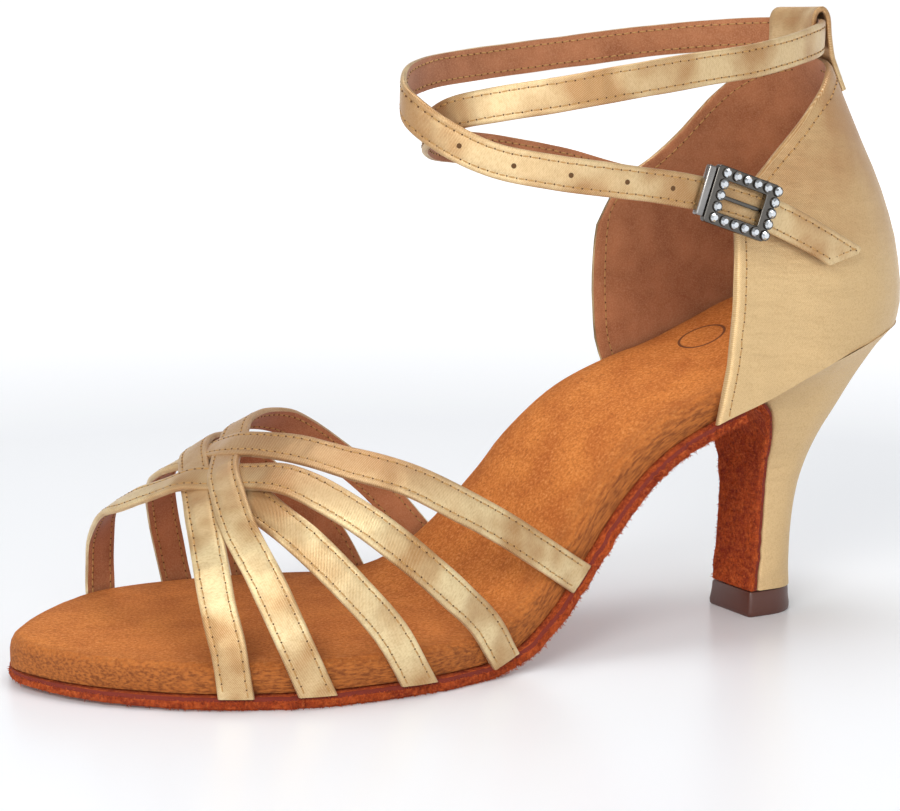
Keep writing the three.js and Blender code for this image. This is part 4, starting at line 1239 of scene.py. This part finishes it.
# Buckle
buckle = {"length": 17, "height": 13, "bar": 2.9, "thick": 1.8, "tilt": 18, "stone": 1.05}


def buckleBasis():
    x = ankle["start"] + 0.38 * ankle["length"]
    outer = [s for s in ankleLine if s["place"].y > 0 and s["run"] > ankleLine[-1]["run"] * 0.7]
    at = min(outer, key=lambda s: abs(s["place"].x - x))
    flat = (Vector((0, 0, 1)) - at["ahead"] * at["ahead"].z).normalized()
    out = flat.cross(at["ahead"]).normalized()
    out = out if out.y > 0 else -out
    along = (Vector((1, 0, 0)) - out * out.x).normalized()
    along = Quaternion(out, math.radians(-buckle["tilt"])) @ along
    return at["place"] + out * (strap["ride"] + gap), along, out.cross(along), out


buckleAt, buckleX, buckleY, buckleZ = buckleBasis()
buckleTurn = Matrix((buckleX, buckleY, buckleZ)).transposed().to_4x4()


def onBuckle(x, y, z):
    return buckleAt + buckleX * x + buckleY * y + buckleZ * z


def fromCad(node, name, material, bevel):
    # the node's own shape, with its hard edges rounded
    bm = bmesh.new()
    bm.from_mesh(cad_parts[node].data)
    bmesh.ops.remove_doubles(bm, verts=bm.verts, dist=0.002 * mm)
    bmesh.ops.dissolve_limit(
        bm, angle_limit=math.radians(2), use_dissolve_boundaries=False, verts=bm.verts, edges=bm.edges)
    hard = [e for e in bm.edges if len(e.link_faces) == 2 and e.calc_face_angle(0) > math.radians(40)]
    bmesh.ops.bevel(bm, geom=hard, offset=bevel * mm, offset_type="OFFSET", segments=3, profile=0.5,
                    affect="EDGES", material=-1)
    return finishPiece(name, bm, [material], node, 35)


fromCad("buckle_frame", "buckle_body", gunmetal, 0.3)
fromCad("buckle_keeper", "buckle_bar", nickel, 0.4)
fromCad("buckle_prong", "buckle_pin", gunmetal, 0.25)


def stoneSpots():
    pitchX = (buckle["length"] - buckle["bar"]) / 5
    pitchY = (buckle["height"] - buckle["bar"]) / 4
    spots = []
    for i in range(6):
        for end in (-1, 1):
            spots.append((-2.5 * pitchX + i * pitchX, end * (buckle["height"] - buckle["bar"]) / 2))
    for i in range(1, 4):
        for end in (-1, 1):
            spots.append((end * (buckle["length"] - buckle["bar"]) / 2, -2 * pitchY + i * pitchY))
    return spots


def gem(bm):
    # a cut stone: eight sloping facets and a flat top
    bmesh.ops.create_cone(bm, cap_ends=True, segments=8, radius1=1, radius2=0.55, depth=0.62,
                          matrix=Matrix.Translation((0, 0, 0.31)))


def cup(bm):
    bmesh.ops.create_cone(bm, cap_ends=True, segments=20, radius1=1.2, radius2=1.08, depth=0.5,
                          matrix=Matrix.Translation((0, 0, 0.12)))


gemShape, cupShape = template(gem), template(cup)
gems, cups = bmesh.new(), bmesh.new()
stoneSize = buckle["stone"] * mm
scale = Matrix.Diagonal((stoneSize, stoneSize, stoneSize, 1))
for x, y in stoneSpots():
    place = Matrix.Translation(inFrame(onBuckle(x, y, buckle["thick"])))
    spin = Matrix.Rotation(random.uniform(0, 0.8), 4, "Z")
    scatter(gems, gemShape, [place @ buckleTurn @ Matrix.Translation((0, 0, 0.25 * mm)) @ spin @ scale
                             @ Matrix.Diagonal((1.04, 1.04, 1, 1))])
    scatter(cups, cupShape, [place @ buckleTurn @ scale])
stoneNodes = [f"stone_{i:02d}" for i in range(1, 19)]
finishPiece("buckle_stones", gems, [crystal], stoneNodes, 5)
finishPiece("buckle_cups", cups, [gunmetal], None, 35)
print("buckle made")

# Punched holes in the ankle strap's free length
holePlaces = (0.538, 0.639, 0.753, 0.856, 0.943)  # shares of the ring's length, from its back
hole = {"radius": 0.66, "deep": 0.25}
holeSize = Matrix.Diagonal((hole["radius"] * mm, hole["radius"] * mm, hole["deep"] * mm, 1))
holes = []
front = [s for s in ankleLine if s["run"] > ankleLine[-1]["run"] * 0.62]
for along in holePlaces:
    x = ankle["start"] + along * ankle["length"]
    passed = [(a, b) for a, b in zip(front, front[1:])
              if (a["place"].x - x) * (b["place"].x - x) <= 0 and a["place"].y > 0]
    at, after = passed[-1]
    t = (x - at["place"].x) / (after["place"].x - at["place"].x)
    top = at["place"].lerp(after["place"], t) + at["normal"] * (strap["thick"] / 2 - 0.03)
    turn = at["normal"].to_track_quat("Z", "Y").to_matrix().to_4x4()
    holes.append(Matrix.Translation(inFrame(top)) @ turn @ holeSize)
holeShape = template(lambda bm: bmesh.ops.create_cone(
    bm, cap_ends=True, segments=14, radius1=1, radius2=0.85, depth=1))
# each hole is a dark disc on the strap: painted shade where the hole is
scattered("ankle_strap_holes", holeShape, holes, holeShade, 35)

# Floor, lights and camera
floor = bmesh.new()
bmesh.ops.create_grid(floor, x_segments=1, y_segments=1, size=6)
floorMesh = bpy.data.meshes.new("floor")
floor.to_mesh(floorMesh)
floor.free()
floorPiece = bpy.data.objects.new("floor", floorMesh)
bpy.context.collection.objects.link(floorPiece)
floorMaterial, floorTree, floorShader = makeMaterial("white studio floor", "#F1F4F9", 0.3)
# the floor glows faintly away from the shoe, so that it meets the backdrop without a line
away = add(floorTree, "ShaderNodeVectorMath", {0: objectPlace(floorTree)}, operation="LENGTH")
glow = ranged(floorTree, away.outputs["Value"], 0.28, 0.9, 0.03, 0.6)
floorTree.links.new(glow, floorShader.inputs["Emission Strength"])
floorShader.inputs["Emission Color"].default_value = (1, 1, 1, 1)
floorMesh.materials.append(floorMaterial)

scene = bpy.context.scene
world = bpy.data.worlds.new("studio")
scene.world = world
world.use_nodes = True
# a white tent, dimmer overhead
worldTree = world.node_tree
worldPlace = add(worldTree, "ShaderNodeTexCoord").outputs["Generated"]
level = ranged(worldTree, heightOf(worldTree, worldPlace), 0.05, 0.75, 1.02, 0.3)
worldTree.links.new(level, worldTree.nodes["Background"].inputs["Strength"])
worldTree.nodes["Background"].inputs["Color"].default_value = linear("#FFFFFF")
scene.view_settings.view_transform = "Standard"


def areaLight(name, place, aim, size, power, colour="#FFFFFF"):
    data = bpy.data.lights.new(name, "AREA")
    data.shape = "RECTANGLE"
    data.size, data.size_y = size
    data.energy = power
    data.color = linear(colour)[:3]
    light = bpy.data.objects.new(name, data)
    light.location = place
    light.rotation_mode = "QUATERNION"
    light.rotation_quaternion = (Vector(aim) - Vector(place)).to_track_quat("-Z", "Y")
    bpy.context.collection.objects.link(light)


areaLight("key light", (0.62, 0.62, 0.6), (0, 0, 0.06), (0.4, 0.3), 4.3, "#FFFBF6")
areaLight("front fill", (0.25, 0.8, 0.25), (0, 0, 0.08), (0.8, 0.5), 1.7)
areaLight("top light", (-0.1, -0.1, 1.1), (0, 0, 0), (0.6, 0.6), 5.4)

# found by fitting the photo's outline, from a given distance
view = {
    "turn": 25.83, "rise": 9.60, "roll": 0.61, "distance": 500, "lens": 87.66, "sensor": 36,
    "target": (111.02, -8, 53.53),
}
target = inFrame(view["target"])
turn, rise = math.radians(view["turn"]), math.radians(view["rise"])
look = Vector((-math.sin(turn) * math.cos(rise), -math.cos(turn) * math.cos(rise), -math.sin(rise)))
cameraData = bpy.data.cameras.new("camera")
cameraData.lens = view["lens"]
cameraData.sensor_width = view["sensor"]
cameraData.sensor_fit = "HORIZONTAL"
cameraData.clip_start, cameraData.clip_end = 0.01, 50
camera = bpy.data.objects.new("camera", cameraData)
camera.rotation_mode = "QUATERNION"
camera.location = target - look * view["distance"] * mm
camera.rotation_quaternion = Quaternion(-look, math.radians(view["roll"])) @ look.to_track_quat("-Z", "Y")
bpy.context.collection.objects.link(camera)
scene.camera = camera
print("stage made")
